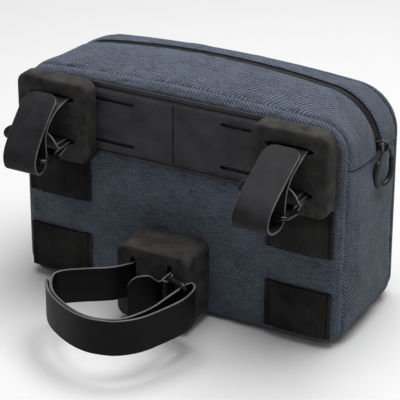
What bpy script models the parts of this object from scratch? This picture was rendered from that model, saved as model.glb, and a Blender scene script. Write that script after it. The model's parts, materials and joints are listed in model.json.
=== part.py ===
"""Handlebar bag with two bar blocks, one head tube block and rubber straps.

Metres, +Z up. The bag stands on its flat underside, whose centre is the origin.
+X runs along the bag's width and -Y is the side that faces the handlebar. The pieces
are modelled from the panel on that side, at Y = 0, and a parent empty then puts the
origin under the middle of the bag. The body is a zipped bag of cloth walls. A rubber
band is sewn across its panel, foam blocks sit on the band and low on the panel, and
each block carries a strap that runs behind it, round the bar and back through a ring.
"""

import math
from collections import namedtuple

import bmesh
import bpy
from mathutils import Vector

MM = 0.001

# The bag's body
BAG_WIDTH = 242 * MM
BAG_HEIGHT = 169 * MM
BAG_DEPTH = 94 * MM
TOP_DEPTH = 90 * MM
CROWN_CORNER = 40 * MM
BASE_CORNER = 14 * MM
CROWN_ARCH = 6 * MM
PANEL_ROLL = 6 * MM
SIDE_SEAM_DROP = 2 * MM
SIDE_SEAM_RISE = 7 * MM
CLOTH = 2 * MM
FRONT_CROWN = 2.5 * MM

# Clearances between neighbouring pieces
FIT = 0.3 * MM
SEAM_GAP = 0.4 * MM

# The zipper over the crown
ZIP_REACH = 0.61
ZIP_OPENING = 9 * MM
ZIP_COIL_SINK = 1.1 * MM
ZIP_TAPE_WIDTH = 22 * MM
ZIP_TAPE = 0.8 * MM
SLIDER_WIDTH = 7.5 * MM
SLIDER_LENGTH = 9.5 * MM
SLIDER_HEIGHT = 2.6 * MM
SLIDER_PARK = math.radians(6)
BAIL_WIRE = 0.8 * MM
BAIL_LENGTH = 7 * MM
BAIL_HEIGHT = 4.4 * MM
PULL_LENGTH = 26 * MM
PULL_WIDTH = 15.5 * MM
PULL_CORD = 1.1 * MM
PULL_SLEEVE = 2.1 * MM
PULL_TURN = math.radians(72)
PULL_SPREAD = 0.1
PULL_SLEEVE_START = 0.32
PULL_STAND = 2 * MM
PULL_SWING = 4 * MM

# The rubber band across the panel
BAND_Z = 130.5 * MM
BAND_X = 2 * MM
BAND_WIDTH = 218 * MM
BAND_HEIGHT = 52 * MM
BAND_SHEET = 1.4 * MM
BAND_HEM = 5 * MM
BAND_SLOT_START = 32 * MM
BAND_SLOT_END = 104 * MM

# The straps, their rings and tongues
STRAP_WIDTH = 25 * MM
STRAP = 1.5 * MM
STRAP_PITCH = 30 * MM
STRAP_END_CORNER = 8 * MM
SLOT_PLAY = 0.4 * MM
TURN = 1.25 * MM
RING_WIRE = 1.5 * MM
RING_PLAY = 0.8 * MM
RING_CORNER = 3.5 * MM
WRAP_PLAY = 0.5 * MM
TONGUE_WIDTH = 42 * MM
TONGUE_CORNER = 10 * MM
TONGUE_HEAD = 13 * MM
TONGUE_TAPER = 9 * MM
TONGUE_SHIFT = 2.5 * MM

# The two bar blocks
BAR_BLOCK_WIDTH = 55 * MM
BAR_BLOCK_HEIGHT = 57.5 * MM
BAR_BLOCK_DEPTH = 12.5 * MM
BAR_BLOCK_SLOT_RISE = 1.3 * MM
LEFT_BLOCK_X = -86.2 * MM
RIGHT_BLOCK_X = 89 * MM
BAR_LOOP = 53 * MM

# The head tube block
TUBE_BLOCK_WIDTH = 54 * MM
TUBE_BLOCK_HEIGHT = 54.5 * MM
TUBE_BLOCK_DEPTH = 32 * MM
TUBE_BLOCK_SLOT_RISE = 2.5 * MM
TUBE_BLOCK_X = -1.8 * MM
TUBE_BLOCK_Z = 31.3 * MM
TUBE_PITCH = 28 * MM
TUBE_LOOP = 78 * MM

# What every block shares
BLOCK_CORNER = 7 * MM
BLOCK_EDGE = 2 * MM
SLOT_WIDTH = 34 * MM
CHANNEL_PLAY = 1 * MM

# The webbing patches
PATCH_WIDTH = 47.5 * MM
PATCH_HEIGHT = 34 * MM
PATCH_X = 91 * MM
PATCH_LOW_Z = 24 * MM
PATCH_HIGH_Z = 83 * MM
PATCH_SHEET = 1.4 * MM
PATCH_BOW = 1.2 * MM

# How finely round shapes are cut
CORNER_STEPS = 6
WRAP_STEPS = 9
RING_STEPS = 4
PULL_STEPS = 22
STRAP_STEP = 4.5 * MM
TONGUE_STEP = 3 * MM
SHARP_ANGLE = math.radians(40)

# A section of the gusset. reach is the share of the way from the panel seam to the
# front seam, width and crown are shares of half the bag's width and of its height,
# arch and corner are shares of the crown's arch and corner radius, and rise is a share
# of how far the side seams climb towards the panel.
GussetRow = namedtuple("GussetRow", "reach width crown arch corner rise")
GUSSET = (
    GussetRow(reach=0.00, width=0.991, crown=0.962, arch=0.67, corner=0.50, rise=1.0),
    GussetRow(reach=0.05, width=0.999, crown=0.971, arch=0.70, corner=0.58, rise=0.7),
    GussetRow(reach=0.22, width=1.000, crown=0.989, arch=0.85, corner=0.82, rise=0.2),
    GussetRow(reach=0.52, width=1.000, crown=1.000, arch=1.00, corner=1.00, rise=0.0),
    GussetRow(reach=0.80, width=1.000, crown=0.981, arch=0.90, corner=0.95, rise=0.0),
    GussetRow(reach=0.95, width=0.999, crown=0.956, arch=0.72, corner=0.85, rise=0.0),
    GussetRow(reach=1.00, width=0.991, crown=0.944, arch=0.67, corner=0.78, rise=0.0),
)

# A point of a strap's free loop. out is a share of the loop's reach beyond its block,
# along is a share of half the distance between the block's slots.
LoopRow = namedtuple("LoopRow", "out along")
RIGHT_STRAP = (
    LoopRow(out=0.155, along=0.81),
    LoopRow(out=0.345, along=0.53),
    LoopRow(out=0.455, along=0.23),
    LoopRow(out=0.52, along=-0.13),
    LoopRow(out=0.55, along=-0.53),
    LoopRow(out=0.56, along=-0.93),
    LoopRow(out=0.58, along=-1.27),
    LoopRow(out=0.66, along=-1.50),
    LoopRow(out=0.79, along=-1.52),
    LoopRow(out=0.92, along=-1.36),
    LoopRow(out=1.00, along=-1.00),
    LoopRow(out=0.96, along=-0.57),
    LoopRow(out=0.81, along=-0.13),
    LoopRow(out=0.60, along=0.30),
    LoopRow(out=0.395, along=0.70),
    LoopRow(out=0.10, along=1.20),
)
LEFT_STRAP = (
    LoopRow(out=0.14, along=0.93),
    LoopRow(out=0.27, along=0.78),
    LoopRow(out=0.39, along=0.50),
    LoopRow(out=0.47, along=0.20),
    LoopRow(out=0.505, along=-0.13),
    LoopRow(out=0.51, along=-0.50),
    LoopRow(out=0.505, along=-0.88),
    LoopRow(out=0.51, along=-1.22),
    LoopRow(out=0.56, along=-1.55),
    LoopRow(out=0.65, along=-1.68),
    LoopRow(out=0.735, along=-1.50),
    LoopRow(out=0.765, along=-1.10),
    LoopRow(out=0.735, along=-0.70),
    LoopRow(out=0.66, along=-0.30),
    LoopRow(out=0.56, along=0.15),
    LoopRow(out=0.43, along=0.64),
    LoopRow(out=0.31, along=1.03),
    LoopRow(out=0.16, along=1.38),
)
BAR_TONGUE = (
    LoopRow(out=0.155, along=-0.93),
    LoopRow(out=0.285, along=-0.89),
    LoopRow(out=0.38, along=-0.75),
    LoopRow(out=0.44, along=-0.48),
    LoopRow(out=0.455, along=-0.20),
    LoopRow(out=0.44, along=0.03),
)
BAR_RING = (
    LoopRow(out=0.285, along=-1.30),
    LoopRow(out=0.635, along=-1.08),
)
TUBE_STRAP = (
    LoopRow(out=0.15, along=1.64),
    LoopRow(out=0.28, along=2.64),
    LoopRow(out=0.39, along=3.36),
    LoopRow(out=0.47, along=3.57),
    LoopRow(out=0.58, along=3.36),
    LoopRow(out=0.71, along=2.86),
    LoopRow(out=0.82, along=2.14),
    LoopRow(out=0.92, along=1.07),
    LoopRow(out=0.96, along=0.21),
    LoopRow(out=0.94, along=-0.57),
    LoopRow(out=0.87, along=-1.29),
    LoopRow(out=0.72, along=-1.75),
    LoopRow(out=0.57, along=-2.00),
    LoopRow(out=0.39, along=-2.10),
    LoopRow(out=0.25, along=-2.18),
    LoopRow(out=0.14, along=-2.24),
    LoopRow(out=0.075, along=-2.41),
    LoopRow(out=0.11, along=-2.68),
    LoopRow(out=0.20, along=-2.84),
    LoopRow(out=0.38, along=-2.82),
    LoopRow(out=0.63, along=-2.39),
    LoopRow(out=0.81, along=-1.93),
    LoopRow(out=0.94, along=-1.20),
    LoopRow(out=0.99, along=-0.43),
    LoopRow(out=1.00, along=0.29),
    LoopRow(out=0.96, along=1.21),
    LoopRow(out=0.86, along=2.29),
    LoopRow(out=0.75, along=3.07),
    LoopRow(out=0.62, along=3.64),
    LoopRow(out=0.53, along=3.86),
)
TUBE_TONGUE = (
    LoopRow(out=0.065, along=-0.86),
    LoopRow(out=0.13, along=-0.68),
    LoopRow(out=0.21, along=-0.25),
    LoopRow(out=0.275, along=0.40),
)
TUBE_RING = (
    LoopRow(out=0.12, along=-1.25),
    LoopRow(out=0.209, along=-2.48),
)

# Base colours of the materials
CLOTH_COLOUR = (0.085, 0.105, 0.150)
FOAM_COLOUR = (0.030, 0.030, 0.031)
RUBBER_COLOUR = (0.017, 0.017, 0.019)
BAND_COLOUR = (0.022, 0.022, 0.026)
WEBBING_COLOUR = (0.008, 0.008, 0.009)
METAL_COLOUR = (0.012, 0.012, 0.013)


def clear_scene():
    """Remove what the scene starts with."""
    for found in list(bpy.data.objects):
        bpy.data.objects.remove(found, do_unlink=True)


def new_collection(name):
    """Make a collection under the scene."""
    collection = bpy.data.collections.new(name)
    bpy.context.scene.collection.children.link(collection)
    return collection


def finish(name, colour, roughness, metallic=0.0):
    """Make a Principled material."""
    material = bpy.data.materials.new(name)
    material.use_nodes = True
    shader = material.node_tree.nodes["Principled BSDF"]
    shader.inputs["Base Color"].default_value = (*colour, 1.0)
    shader.inputs["Roughness"].default_value = roughness
    shader.inputs["Metallic"].default_value = metallic
    return material


def add_object(name, data, collection, material=None):
    """Link a mesh or curve as a named object."""
    made = bpy.data.objects.new(name, data)
    collection.objects.link(made)
    if material is not None:
        data.materials.append(material)
    return made


def mesh_from(bm, name):
    """Close a bmesh into mesh data, shaded smooth between its sharp edges."""
    bmesh.ops.recalc_face_normals(bm, faces=bm.faces)
    data = bpy.data.meshes.new(name)
    bm.to_mesh(data)
    bm.free()
    data.shade_smooth()
    data.set_sharp_from_angle(angle=SHARP_ANGLE)
    return data


def sheet(name, rows, thickness, offset, collection, material, closed=False, cap=False):
    """Make a wall from rows of points: an open surface that Solidify thickens.

    The rows run so that the surface faces out. closed joins each row's ends and cap
    fills the last row with one flat face.
    """
    bm = bmesh.new()
    verts = [[bm.verts.new(point) for point in row] for row in rows]
    count = len(rows[0])
    spans = count if closed else count - 1
    for lower, upper in zip(verts, verts[1:]):
        for i in range(spans):
            k = (i + 1) % count
            bm.faces.new((lower[i], lower[k], upper[k], upper[i]))
    if cap:
        bm.faces.new(verts[-1])
    data = bpy.data.meshes.new(name)
    bm.to_mesh(data)
    bm.free()
    data.shade_smooth()
    data.set_sharp_from_angle(angle=SHARP_ANGLE)
    made = add_object(name, data, collection, material)
    wall = made.modifiers.new("wall", "SOLIDIFY")
    wall.thickness = thickness
    wall.offset = offset
    wall.use_even_offset = True
    wall.use_rim = True
    return made


def box_bmesh(size, centre):
    """Make a box of the given size about a centre."""
    bm = bmesh.new()
    bmesh.ops.create_cube(bm, size=1.0)
    for vert in bm.verts:
        vert.co = Vector(centre) + Vector([vert.co[i] * size[i] for i in range(3)])
    return bm


def edges_along(bm, axis):
    """List a box's edges that run along one axis."""
    found = []
    for edge in bm.edges:
        way = edge.verts[1].co - edge.verts[0].co
        if abs(way[axis]) > 0.99 * way.length:
            found.append(edge)
    return found


def cut(target, name, size, centre, round_axis, corner, collection):
    """Cut a rounded box out of a target with a Boolean modifier."""
    bm = box_bmesh(size, centre)
    if corner > 0:
        bmesh.ops.bevel(
            bm, geom=edges_along(bm, round_axis), offset=corner, segments=4, profile=0.5, affect="EDGES"
        )
    cutter = add_object(name, mesh_from(bm, name), collection)
    cutter.hide_render = True
    cutter.display_type = "WIRE"
    modifier = target.modifiers.new(name, "BOOLEAN")
    modifier.operation = "DIFFERENCE"
    modifier.solver = "EXACT"
    modifier.object = cutter


def smooth_path(points, step):
    """Read points at about one step apart from a smooth curve through the given ones."""
    padded = [2 * points[0] - points[1], *points, 2 * points[-1] - points[-2]]
    path = []
    for a, b, c, d in zip(padded, padded[1:], padded[2:], padded[3:]):
        count = max(1, round((c - b).length / step))
        for i in range(count):
            t = i / count
            path.append(
                0.5 * (2 * b + (c - a) * t + (2 * a - 5 * b + 4 * c - d) * t * t
                       + (3 * b - a - 3 * c + d) * t * t * t)
            )
    path.append(points[-1].copy())
    return path


def arc(centre, radius, start, end, steps):
    """List points on an arc in a block's own plane, ends included."""
    turns = [start + (end - start) * i / steps for i in range(steps + 1)]
    return [centre + radius * Vector((math.cos(turn), math.sin(turn))) for turn in turns]


def front_seam_y(z):
    """Depth of the seam round the front panel, which leans back towards the crown."""
    lean = (BAG_DEPTH - TOP_DEPTH) * z / BAG_HEIGHT
    return BAG_DEPTH - PANEL_ROLL - lean


def gusset_row(reach):
    """Read the gusset's section at a reach between the rows of its table."""
    for low, high in zip(GUSSET, GUSSET[1:]):
        if reach <= high.reach:
            share = (reach - low.reach) / (high.reach - low.reach)
            return GussetRow(*[a + (b - a) * share for a, b in zip(low, high)])
    return GUSSET[-1]


def crown_corner(row, inset=0.0):
    """Work out a section's crown corner: its radius, its centre's x and z, and its arc."""
    corner = CROWN_CORNER * row.corner - inset
    corner_x = BAG_WIDTH / 2 * row.width - inset - corner
    arch = CROWN_ARCH * row.arch
    lift = math.pi / 2 - math.atan2(2 * arch, corner_x)
    corner_z = BAG_HEIGHT * row.crown - inset - arch - corner * math.sin(lift)
    return corner, corner_x, corner_z, lift


def outline(row, inset=0.0):
    """List a section's ring of (x, z), from the middle of the underside and over +X.

    Returns the ring and the index of its point on the +X side seam.
    """
    half = BAG_WIDTH / 2 * row.width - inset
    base = BAG_WIDTH / 2 * (1 - row.width) + inset
    base_corner = BASE_CORNER - inset
    corner, corner_x, corner_z, lift = crown_corner(row, inset)
    arch = CROWN_ARCH * row.arch
    top = BAG_HEIGHT * row.crown - inset
    edge_x = corner_x + corner * math.cos(lift)
    corner_start = BAG_HEIGHT - CROWN_ARCH - CROWN_CORNER
    seam_z = corner_start - SIDE_SEAM_DROP + SIDE_SEAM_RISE * row.rise
    half_ring = [(share * (half - base_corner), base) for share in (0.0, 0.5, 1.0)]
    for i in range(1, CORNER_STEPS + 1):
        turn = -math.pi / 2 + math.pi / 2 * i / CORNER_STEPS
        half_ring.append(
            (half - base_corner + base_corner * math.cos(turn),
             base + base_corner + base_corner * math.sin(turn))
        )
    low_z = base + base_corner
    half_ring += [(half, low_z + (seam_z - low_z) * share) for share in (0.33, 0.67)]
    seam = len(half_ring)
    half_ring.append((half, seam_z))
    for i in range(CORNER_STEPS + 1):
        turn = lift * i / CORNER_STEPS
        half_ring.append((corner_x + corner * math.cos(turn), corner_z + corner * math.sin(turn)))
    for share in (0.75, 0.5, 0.25, 0.0):
        half_ring.append((edge_x * share, top - arch * share * share))
    other_half = [(-x, z) for x, z in reversed(half_ring[1:-1])]
    return half_ring + other_half, seam


def gusset_ring(reach, inset=0.0, shift=0.0):
    """Place the section at a reach in space, moved along Y by a shift."""
    ring, seam = outline(gusset_row(reach), inset)
    back = PANEL_ROLL
    placed = [Vector((x, back + reach * (front_seam_y(z) - back) + shift, z)) for x, z in ring]
    return placed, seam


def split_ring(reach, upper, inset=0.0, shift=0.0):
    """Take the part of a ring above or below the side seams, kept clear of them."""
    ring, seam = gusset_ring(reach, inset, shift)
    last = len(ring) - seam
    if upper:
        part = ring[seam:last + 1]
        gap = SEAM_GAP / 2
    else:
        part = ring[last:] + ring[:seam + 1]
        gap = -SEAM_GAP / 2
    part[0] = part[0] + Vector((0, 0, gap))
    part[-1] = part[-1] + Vector((0, 0, gap))
    return part


def reach_of(width):
    """Turn a width along Y at the crown into a reach."""
    return width / (front_seam_y(BAG_HEIGHT) - PANEL_ROLL)


def build_gussets(parts, cloth):
    """Make the lower gusset and the two upper ones beside the zipper."""
    reaches = [row.reach for row in GUSSET]
    lip = reach_of(ZIP_OPENING / 2)
    plans = {
        "lower_gusset": (False, reaches),
        "upper_gusset_rear": (True, [r for r in reaches if r < ZIP_REACH - lip] + [ZIP_REACH - lip]),
        "upper_gusset_front": (True, [ZIP_REACH + lip] + [r for r in reaches if r > ZIP_REACH + lip]),
    }
    for name, (upper, stations) in plans.items():
        rows = []
        for reach in stations:
            shift = SEAM_GAP if reach == 0.0 else -SEAM_GAP if reach == 1.0 else 0.0
            rows.append(split_ring(reach, upper, shift=shift))
        rows.reverse()
        sheet(name, rows, CLOTH, -1.0, parts, cloth)


def panel_rows(row, facing):
    """List the loops of a panel from its seam to the edge of its flat face."""
    loops = [(0.0, 0.0), (0.0, 0.25)]
    loops += [(1 - math.cos(turn), 0.25 + 0.75 * math.sin(turn))
              for turn in (math.radians(step) for step in (30, 60, 90))]
    rows = []
    for inset, rise in loops:
        ring, _ = outline(row, PANEL_ROLL * inset)
        if facing < 0:
            rows.append([Vector((x, PANEL_ROLL * (1 - rise), z)) for x, z in ring])
        else:
            rows.append([Vector((x, front_seam_y(z) + PANEL_ROLL * rise, z)) for x, z in ring])
    return rows


def build_panels(parts, cloth):
    """Make the flat panel that faces the bar and the crowned front panel."""
    rear = panel_rows(GUSSET[0], -1)
    sheet("rear_panel", rear, CLOTH, -1.0, parts, cloth, closed=True, cap=True)
    front = panel_rows(GUSSET[-1], 1)
    edge = front[-1]
    centre = sum(edge, Vector()) / len(edge)
    for share, crown in ((0.72, 0.55), (0.40, 0.9), (0.12, 1.0)):
        front.append([centre + (p - centre) * share + Vector((0, FRONT_CROWN * crown, 0)) for p in edge])
    front = [list(reversed(row)) for row in front]
    sheet("front_panel", front, CLOTH, -1.0, parts, cloth, closed=True, cap=True)


def build_zipper(parts, cutters, webbing, metal):
    """Make the tape under the lips, the coil between them, the slider and its pull."""
    tape = reach_of(ZIP_TAPE_WIDTH / 2)
    sink = CLOTH + FIT
    stations = (ZIP_REACH + tape, ZIP_REACH, ZIP_REACH - tape)
    rows = [split_ring(reach, True, inset=sink) for reach in stations]
    sheet("zipper_tape", rows, ZIP_TAPE, -1.0, parts, webbing)
    coil = reach_of(ZIP_OPENING / 2 - FIT)
    rows = [split_ring(reach, True, inset=ZIP_COIL_SINK) for reach in (ZIP_REACH + coil, ZIP_REACH - coil)]
    sheet("zipper_coil", rows, CLOTH - ZIP_COIL_SINK, -1.0, parts, webbing)
    build_slider(parts, cutters, metal)


def park_frame():
    """Find where the slider is parked: its seat on the coil, its way along it and out."""
    corner, corner_x, corner_z, _ = crown_corner(gusset_row(ZIP_REACH), ZIP_COIL_SINK)
    x = corner_x + corner * math.cos(SLIDER_PARK)
    z = corner_z + corner * math.sin(SLIDER_PARK)
    y = PANEL_ROLL + ZIP_REACH * (front_seam_y(z) - PANEL_ROLL)
    along = Vector((-math.sin(SLIDER_PARK), 0, math.cos(SLIDER_PARK)))
    out = Vector((math.cos(SLIDER_PARK), 0, math.sin(SLIDER_PARK)))
    return Vector((x, y, z)), along, out


def wire_object(name, points, radius, collection, material, cyclic, radii=None):
    """Make a round wire along points as a bevelled curve."""
    curve = bpy.data.curves.new(name, "CURVE")
    curve.dimensions = "3D"
    curve.bevel_depth = radius
    curve.bevel_resolution = 2
    curve.use_fill_caps = not cyclic
    spline = curve.splines.new("POLY")
    spline.points.add(len(points) - 1)
    for i, point in enumerate(points):
        spline.points[i].co = (*point, 1.0)
        spline.points[i].radius = 1.0 if radii is None else radii[i]
    spline.use_cyclic_u = cyclic
    return add_object(name, curve, collection, material)


def mesh_copy(source):
    """Turn a curve object into a welded mesh object in its place."""
    bpy.context.view_layer.update()
    graph = bpy.context.evaluated_depsgraph_get()
    data = bpy.data.meshes.new_from_object(source.evaluated_get(graph))
    bm = bmesh.new()
    bm.from_mesh(data)
    bmesh.ops.remove_doubles(bm, verts=bm.verts, dist=0.001 * MM)
    bmesh.ops.recalc_face_normals(bm, faces=bm.faces)
    bm.to_mesh(data)
    bm.free()
    made = bpy.data.objects.new(source.name + "_mesh", data)
    made.matrix_world = source.matrix_world
    bpy.data.objects.remove(source, do_unlink=True)
    return made


def build_slider(parts, cutters, metal):
    """Make the slider with its bail, and the moulded loop that hangs from it."""
    seat, along, out = park_frame()
    depth = Vector((0, 1, 0))
    middle = seat + out * (FIT + SLIDER_HEIGHT / 2)
    bm = box_bmesh((SLIDER_HEIGHT, SLIDER_WIDTH, SLIDER_LENGTH), (0, 0, 0))
    bmesh.ops.bevel(bm, geom=list(bm.edges), offset=0.8 * MM, segments=2, profile=0.5, affect="EDGES")
    for vert in bm.verts:
        vert.co = middle + out * vert.co.x + depth * vert.co.y + along * vert.co.z
    slider = add_object("zip_slider", mesh_from(bm, "zip_slider"), parts, metal)
    foot = seat + out * (FIT + SLIDER_HEIGHT * 0.6)
    rise = BAIL_HEIGHT + SLIDER_HEIGHT * 0.4
    path = []
    for i in range(WRAP_STEPS):
        turn = math.pi * i / (WRAP_STEPS - 1)
        path.append(foot + along * (BAIL_LENGTH / 2 * math.cos(turn)) + out * (rise * math.sin(turn)))
    bail = mesh_copy(wire_object("bail", path, BAIL_WIRE, cutters, None, False))
    cutters.objects.link(bail)
    bail.hide_render = True
    bail.display_type = "WIRE"
    join = slider.modifiers.new("bail", "BOOLEAN")
    join.operation = "UNION"
    join.solver = "EXACT"
    join.object = bail
    build_pull(parts, seat, along, out)


def build_pull(parts, seat, along, out):
    """Make the pull: a thin cord through the bail that swells into a moulded sleeve."""
    rubber = finish("pull_rubber", RUBBER_COLOUR, 0.5)
    across = Vector((math.cos(PULL_TURN), math.sin(PULL_TURN), 0))
    hang = seat + out * (FIT + SLIDER_HEIGHT + FIT + PULL_CORD)
    points = []
    radii = []
    for i in range(PULL_STEPS):
        turn = 2 * math.pi * i / PULL_STEPS
        drop = (1 - math.cos(turn)) / 2
        swell = math.sin(turn) * (0.68 + 0.57 * drop)
        stand = PULL_STAND * min(1.0, drop / PULL_SPREAD)
        place = hang + across * (PULL_WIDTH / 2 * swell)
        points.append(place + Vector((stand, -PULL_SWING * drop, -PULL_LENGTH * drop)))
        sleeve = min(1.0, max(0.0, (drop - PULL_SLEEVE_START) / PULL_SPREAD))
        radii.append((PULL_CORD + (PULL_SLEEVE - PULL_CORD) * sleeve) / PULL_SLEEVE)
    wire_object("zip_pull", points, PULL_SLEEVE, parts, rubber, True, radii)


def build_band(parts, cutters, rubber):
    """Make the band: hems on the panel, a raised middle and four long slots."""
    half = BAND_HEIGHT / 2
    channel = STRAP + FIT
    steps = [(-half, 0.0), (-half + BAND_HEM, 0.0), (-half + BAND_HEM + channel, channel)]
    steps += [(-z, lift) for z, lift in reversed(steps)]
    rows = []
    for side in (1, -1):
        x = BAND_X + side * BAND_WIDTH / 2
        rows.append([Vector((x, -FIT - lift, BAND_Z + z)) for z, lift in steps])
    band = sheet("mount_band", rows, BAND_SHEET, 1.0, parts, rubber)
    length = BAND_SLOT_END - BAND_SLOT_START
    middle = (BAND_SLOT_END + BAND_SLOT_START) / 2
    for level_name, level in (("low", -1), ("high", 1)):
        for side_name, side in (("left", -1), ("right", 1)):
            cut(
                band,
                f"band_slot_{level_name}_{side_name}",
                (length, 4 * (channel + BAND_SHEET), slot_height()),
                (BAND_X + side * middle, -FIT - channel, BAND_Z + level * STRAP_PITCH / 2),
                1,
                slot_height() * 0.48,
                cutters,
            )


def slot_height():
    """Height of a slot that takes a strap and a tongue side by side."""
    return 2 * STRAP + 3 * SLOT_PLAY


def block_mesh(name, size, centre):
    """Make a foam block with round corners and a rounded front edge."""
    bm = box_bmesh(size, centre)
    upright = edges_along(bm, 1)
    bmesh.ops.bevel(bm, geom=upright, offset=BLOCK_CORNER, segments=4, profile=0.5, affect="EDGES")
    front = centre[1] - size[1] / 2
    rim = [e for e in bm.edges if all(abs(v.co.y - front) < 0.01 * MM for v in e.verts)]
    bmesh.ops.bevel(bm, geom=rim, offset=BLOCK_EDGE, segments=2, profile=0.5, affect="EDGES")
    return mesh_from(bm, name)


class BlockPlane:
    """A block's own plane: out from the panel, and along from its low slot to its high one."""

    def __init__(self, centre_x, centre_z, along, face, pitch, loop):
        self.origin = Vector((centre_x, 0, centre_z))
        self.along = along
        self.side = Vector((0, 1, 0)).cross(along)
        self.face = face
        self.pitch = pitch
        self.loop = loop

    def spot(self, row):
        """Turn a loop row into a point of the plane."""
        return Vector((self.face + row.out * self.loop, row.along * self.pitch / 2))

    def place(self, point, across=0.0):
        """Put a point of the plane in space."""
        return self.origin + Vector((0, -point[0], 0)) + self.along * point[1] + self.side * across


def ribbon(name, plane, path, half_widths, shift, parts, rubber):
    """Make a flat strip along a path, of the given half widths, shifted across its plane."""
    rows = []
    for point, half in zip(path, half_widths):
        rows.append([plane.place(point, shift - half), plane.place(point, shift + half)])
    return sheet(name, rows, STRAP, 0.0, parts, rubber)


def end_widths(path, full, corner):
    """Half widths along a path whose last end is rounded with a corner radius."""
    lengths = [0.0]
    for a, b in zip(reversed(path[:-1]), reversed(path[1:])):
        lengths.append(lengths[-1] + (a - b).length)
    lengths.reverse()
    widths = []
    for left in lengths:
        if left >= corner:
            widths.append(full)
        else:
            rest = corner - max(left, 0.04 * corner)
            widths.append(full - corner + math.sqrt(corner * corner - rest * rest))
    return widths


def tongue_widths(path):
    """Half widths of a tongue: a round-cornered head that narrows to the strap's width."""
    widths = end_widths(path, TONGUE_WIDTH / 2, TONGUE_CORNER)
    neck = STRAP_WIDTH / 2
    left = 0.0
    for i in range(len(path) - 2, -1, -1):
        left += (path[i + 1] - path[i]).length
        share = min(1.0, max(0.0, (left - TONGUE_HEAD) / TONGUE_TAPER))
        widths[i] += (neck - widths[i]) * share * share * (3 - 2 * share)
    return widths


def with_round_end(path, corner):
    """Add points near a path's last end, where its rounding needs them."""
    steps = [corner * share for share in (1.0, 0.55, 0.25, 0.08)]
    end = path[-1]
    kept = list(path)
    while (kept[-1] - end).length < corner * 1.1:
        kept.pop()
    way = (kept[-1] - end).normalized()
    return kept + [end + way * step for step in steps] + [end]


def strap_path(plane, loop_rows, ring_rows):
    """Route a strap: round its ring's near bar, behind the block and round the free loop."""
    low = -plane.pitch / 2 - (STRAP + SLOT_PLAY) / 2
    high = plane.pitch / 2
    bar = plane.spot(ring_rows[0])
    wrap = RING_WIRE + WRAP_PLAY + STRAP / 2
    leave = Vector((plane.face + STRAP, low))
    back = Vector((plane.face + STRAP, low - STRAP - 2 * FIT))
    upper = tangent_angle(bar, leave, wrap, -1)
    lower = tangent_angle(bar, back, wrap, 1)
    while upper < lower:
        upper += 2 * math.pi
    path = [back] + arc(bar, wrap, lower, upper, WRAP_STEPS) + [leave]
    leg = FIT + STRAP / 2
    path += arc(Vector((leg + TURN, low + TURN)), TURN, -math.pi / 2, -math.pi, 3)
    path += arc(Vector((leg + TURN, high - TURN)), TURN, math.pi, math.pi / 2, 3)
    exit_point = Vector((plane.face, high))
    free = [exit_point] + [plane.spot(row) for row in loop_rows]
    path += with_round_end(smooth_path(free, STRAP_STEP), STRAP_END_CORNER)
    return path


def tangent_angle(centre, point, radius, side):
    """Angle at which a line from a point touches a circle, on one of its two sides."""
    way = point - centre
    return math.atan2(way.y, way.x) + side * math.acos(radius / way.length)


def build_mount(name, plane, tables, parts, rubber, metal):
    """Make a block's strap, ring and tongue."""
    strap_rows, tongue_rows, ring_rows = tables
    path = strap_path(plane, strap_rows, ring_rows)
    half_widths = end_widths(path, STRAP_WIDTH / 2, STRAP_END_CORNER)
    ribbon(f"strap_{name}", plane, path, half_widths, 0.0, parts, rubber)
    root = -plane.pitch / 2 + (STRAP + SLOT_PLAY) / 2
    start = Vector((band_front() + FIT, root))
    tongue = [start, Vector((plane.face, root))] + [plane.spot(row) for row in tongue_rows]
    tongue = with_round_end(smooth_path(tongue, TONGUE_STEP), TONGUE_CORNER)
    ribbon(f"tongue_{name}", plane, tongue, tongue_widths(tongue), -TONGUE_SHIFT, parts, rubber)
    build_ring(f"ring_{name}", plane, ring_rows, parts, metal)


def band_front():
    """How far the band's raised middle stands out from the panel."""
    return FIT + STRAP + FIT + BAND_SHEET


def build_ring(name, plane, ring_rows, parts, metal):
    """Make a wire ring: a rounded rectangle between its two long bars."""
    near, far = [plane.spot(row) for row in ring_rows]
    way = (far - near).normalized()
    half = STRAP_WIDTH / 2 + RING_PLAY + RING_WIRE
    length = (far - near).length
    corners = (
        (RING_CORNER, half - RING_CORNER, math.pi / 2),
        (RING_CORNER, -half + RING_CORNER, math.pi),
        (length - RING_CORNER, -half + RING_CORNER, -math.pi / 2),
        (length - RING_CORNER, half - RING_CORNER, 0.0),
    )
    points = []
    for out, across, start in corners:
        for i in range(RING_STEPS + 1):
            turn = start + math.pi / 2 * i / RING_STEPS
            spot = near + way * (out + RING_CORNER * math.cos(turn))
            points.append(plane.place(spot, across + RING_CORNER * math.sin(turn)))
    wire_object(name, points, RING_WIRE, parts, metal, True)


def build_bar_block(name, x, strap_rows, parts, cutters, foam, rubber, metal):
    """Make one of the two blocks that sit on the band, with what it carries."""
    back = band_front() + FIT
    face = back + BAR_BLOCK_DEPTH
    size = (BAR_BLOCK_WIDTH, BAR_BLOCK_DEPTH, BAR_BLOCK_HEIGHT)
    centre = (x, -(back + face) / 2, BAND_Z - BAR_BLOCK_SLOT_RISE)
    block = add_object(f"bar_block_{name}", block_mesh(name, size, centre), parts, foam)
    for level_name, level in (("low", -1), ("high", 1)):
        place = (x, centre[1], BAND_Z + level * STRAP_PITCH / 2)
        slot = (SLOT_WIDTH, 2 * BAR_BLOCK_DEPTH, slot_height())
        cut(block, f"bar_slot_{name}_{level_name}", slot, place, 1, slot_height() * 0.3, cutters)
    plane = BlockPlane(x, BAND_Z, Vector((0, 0, 1)), face, STRAP_PITCH, BAR_LOOP)
    build_mount(name, plane, (strap_rows, BAR_TONGUE, BAR_RING), parts, rubber, metal)


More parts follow.
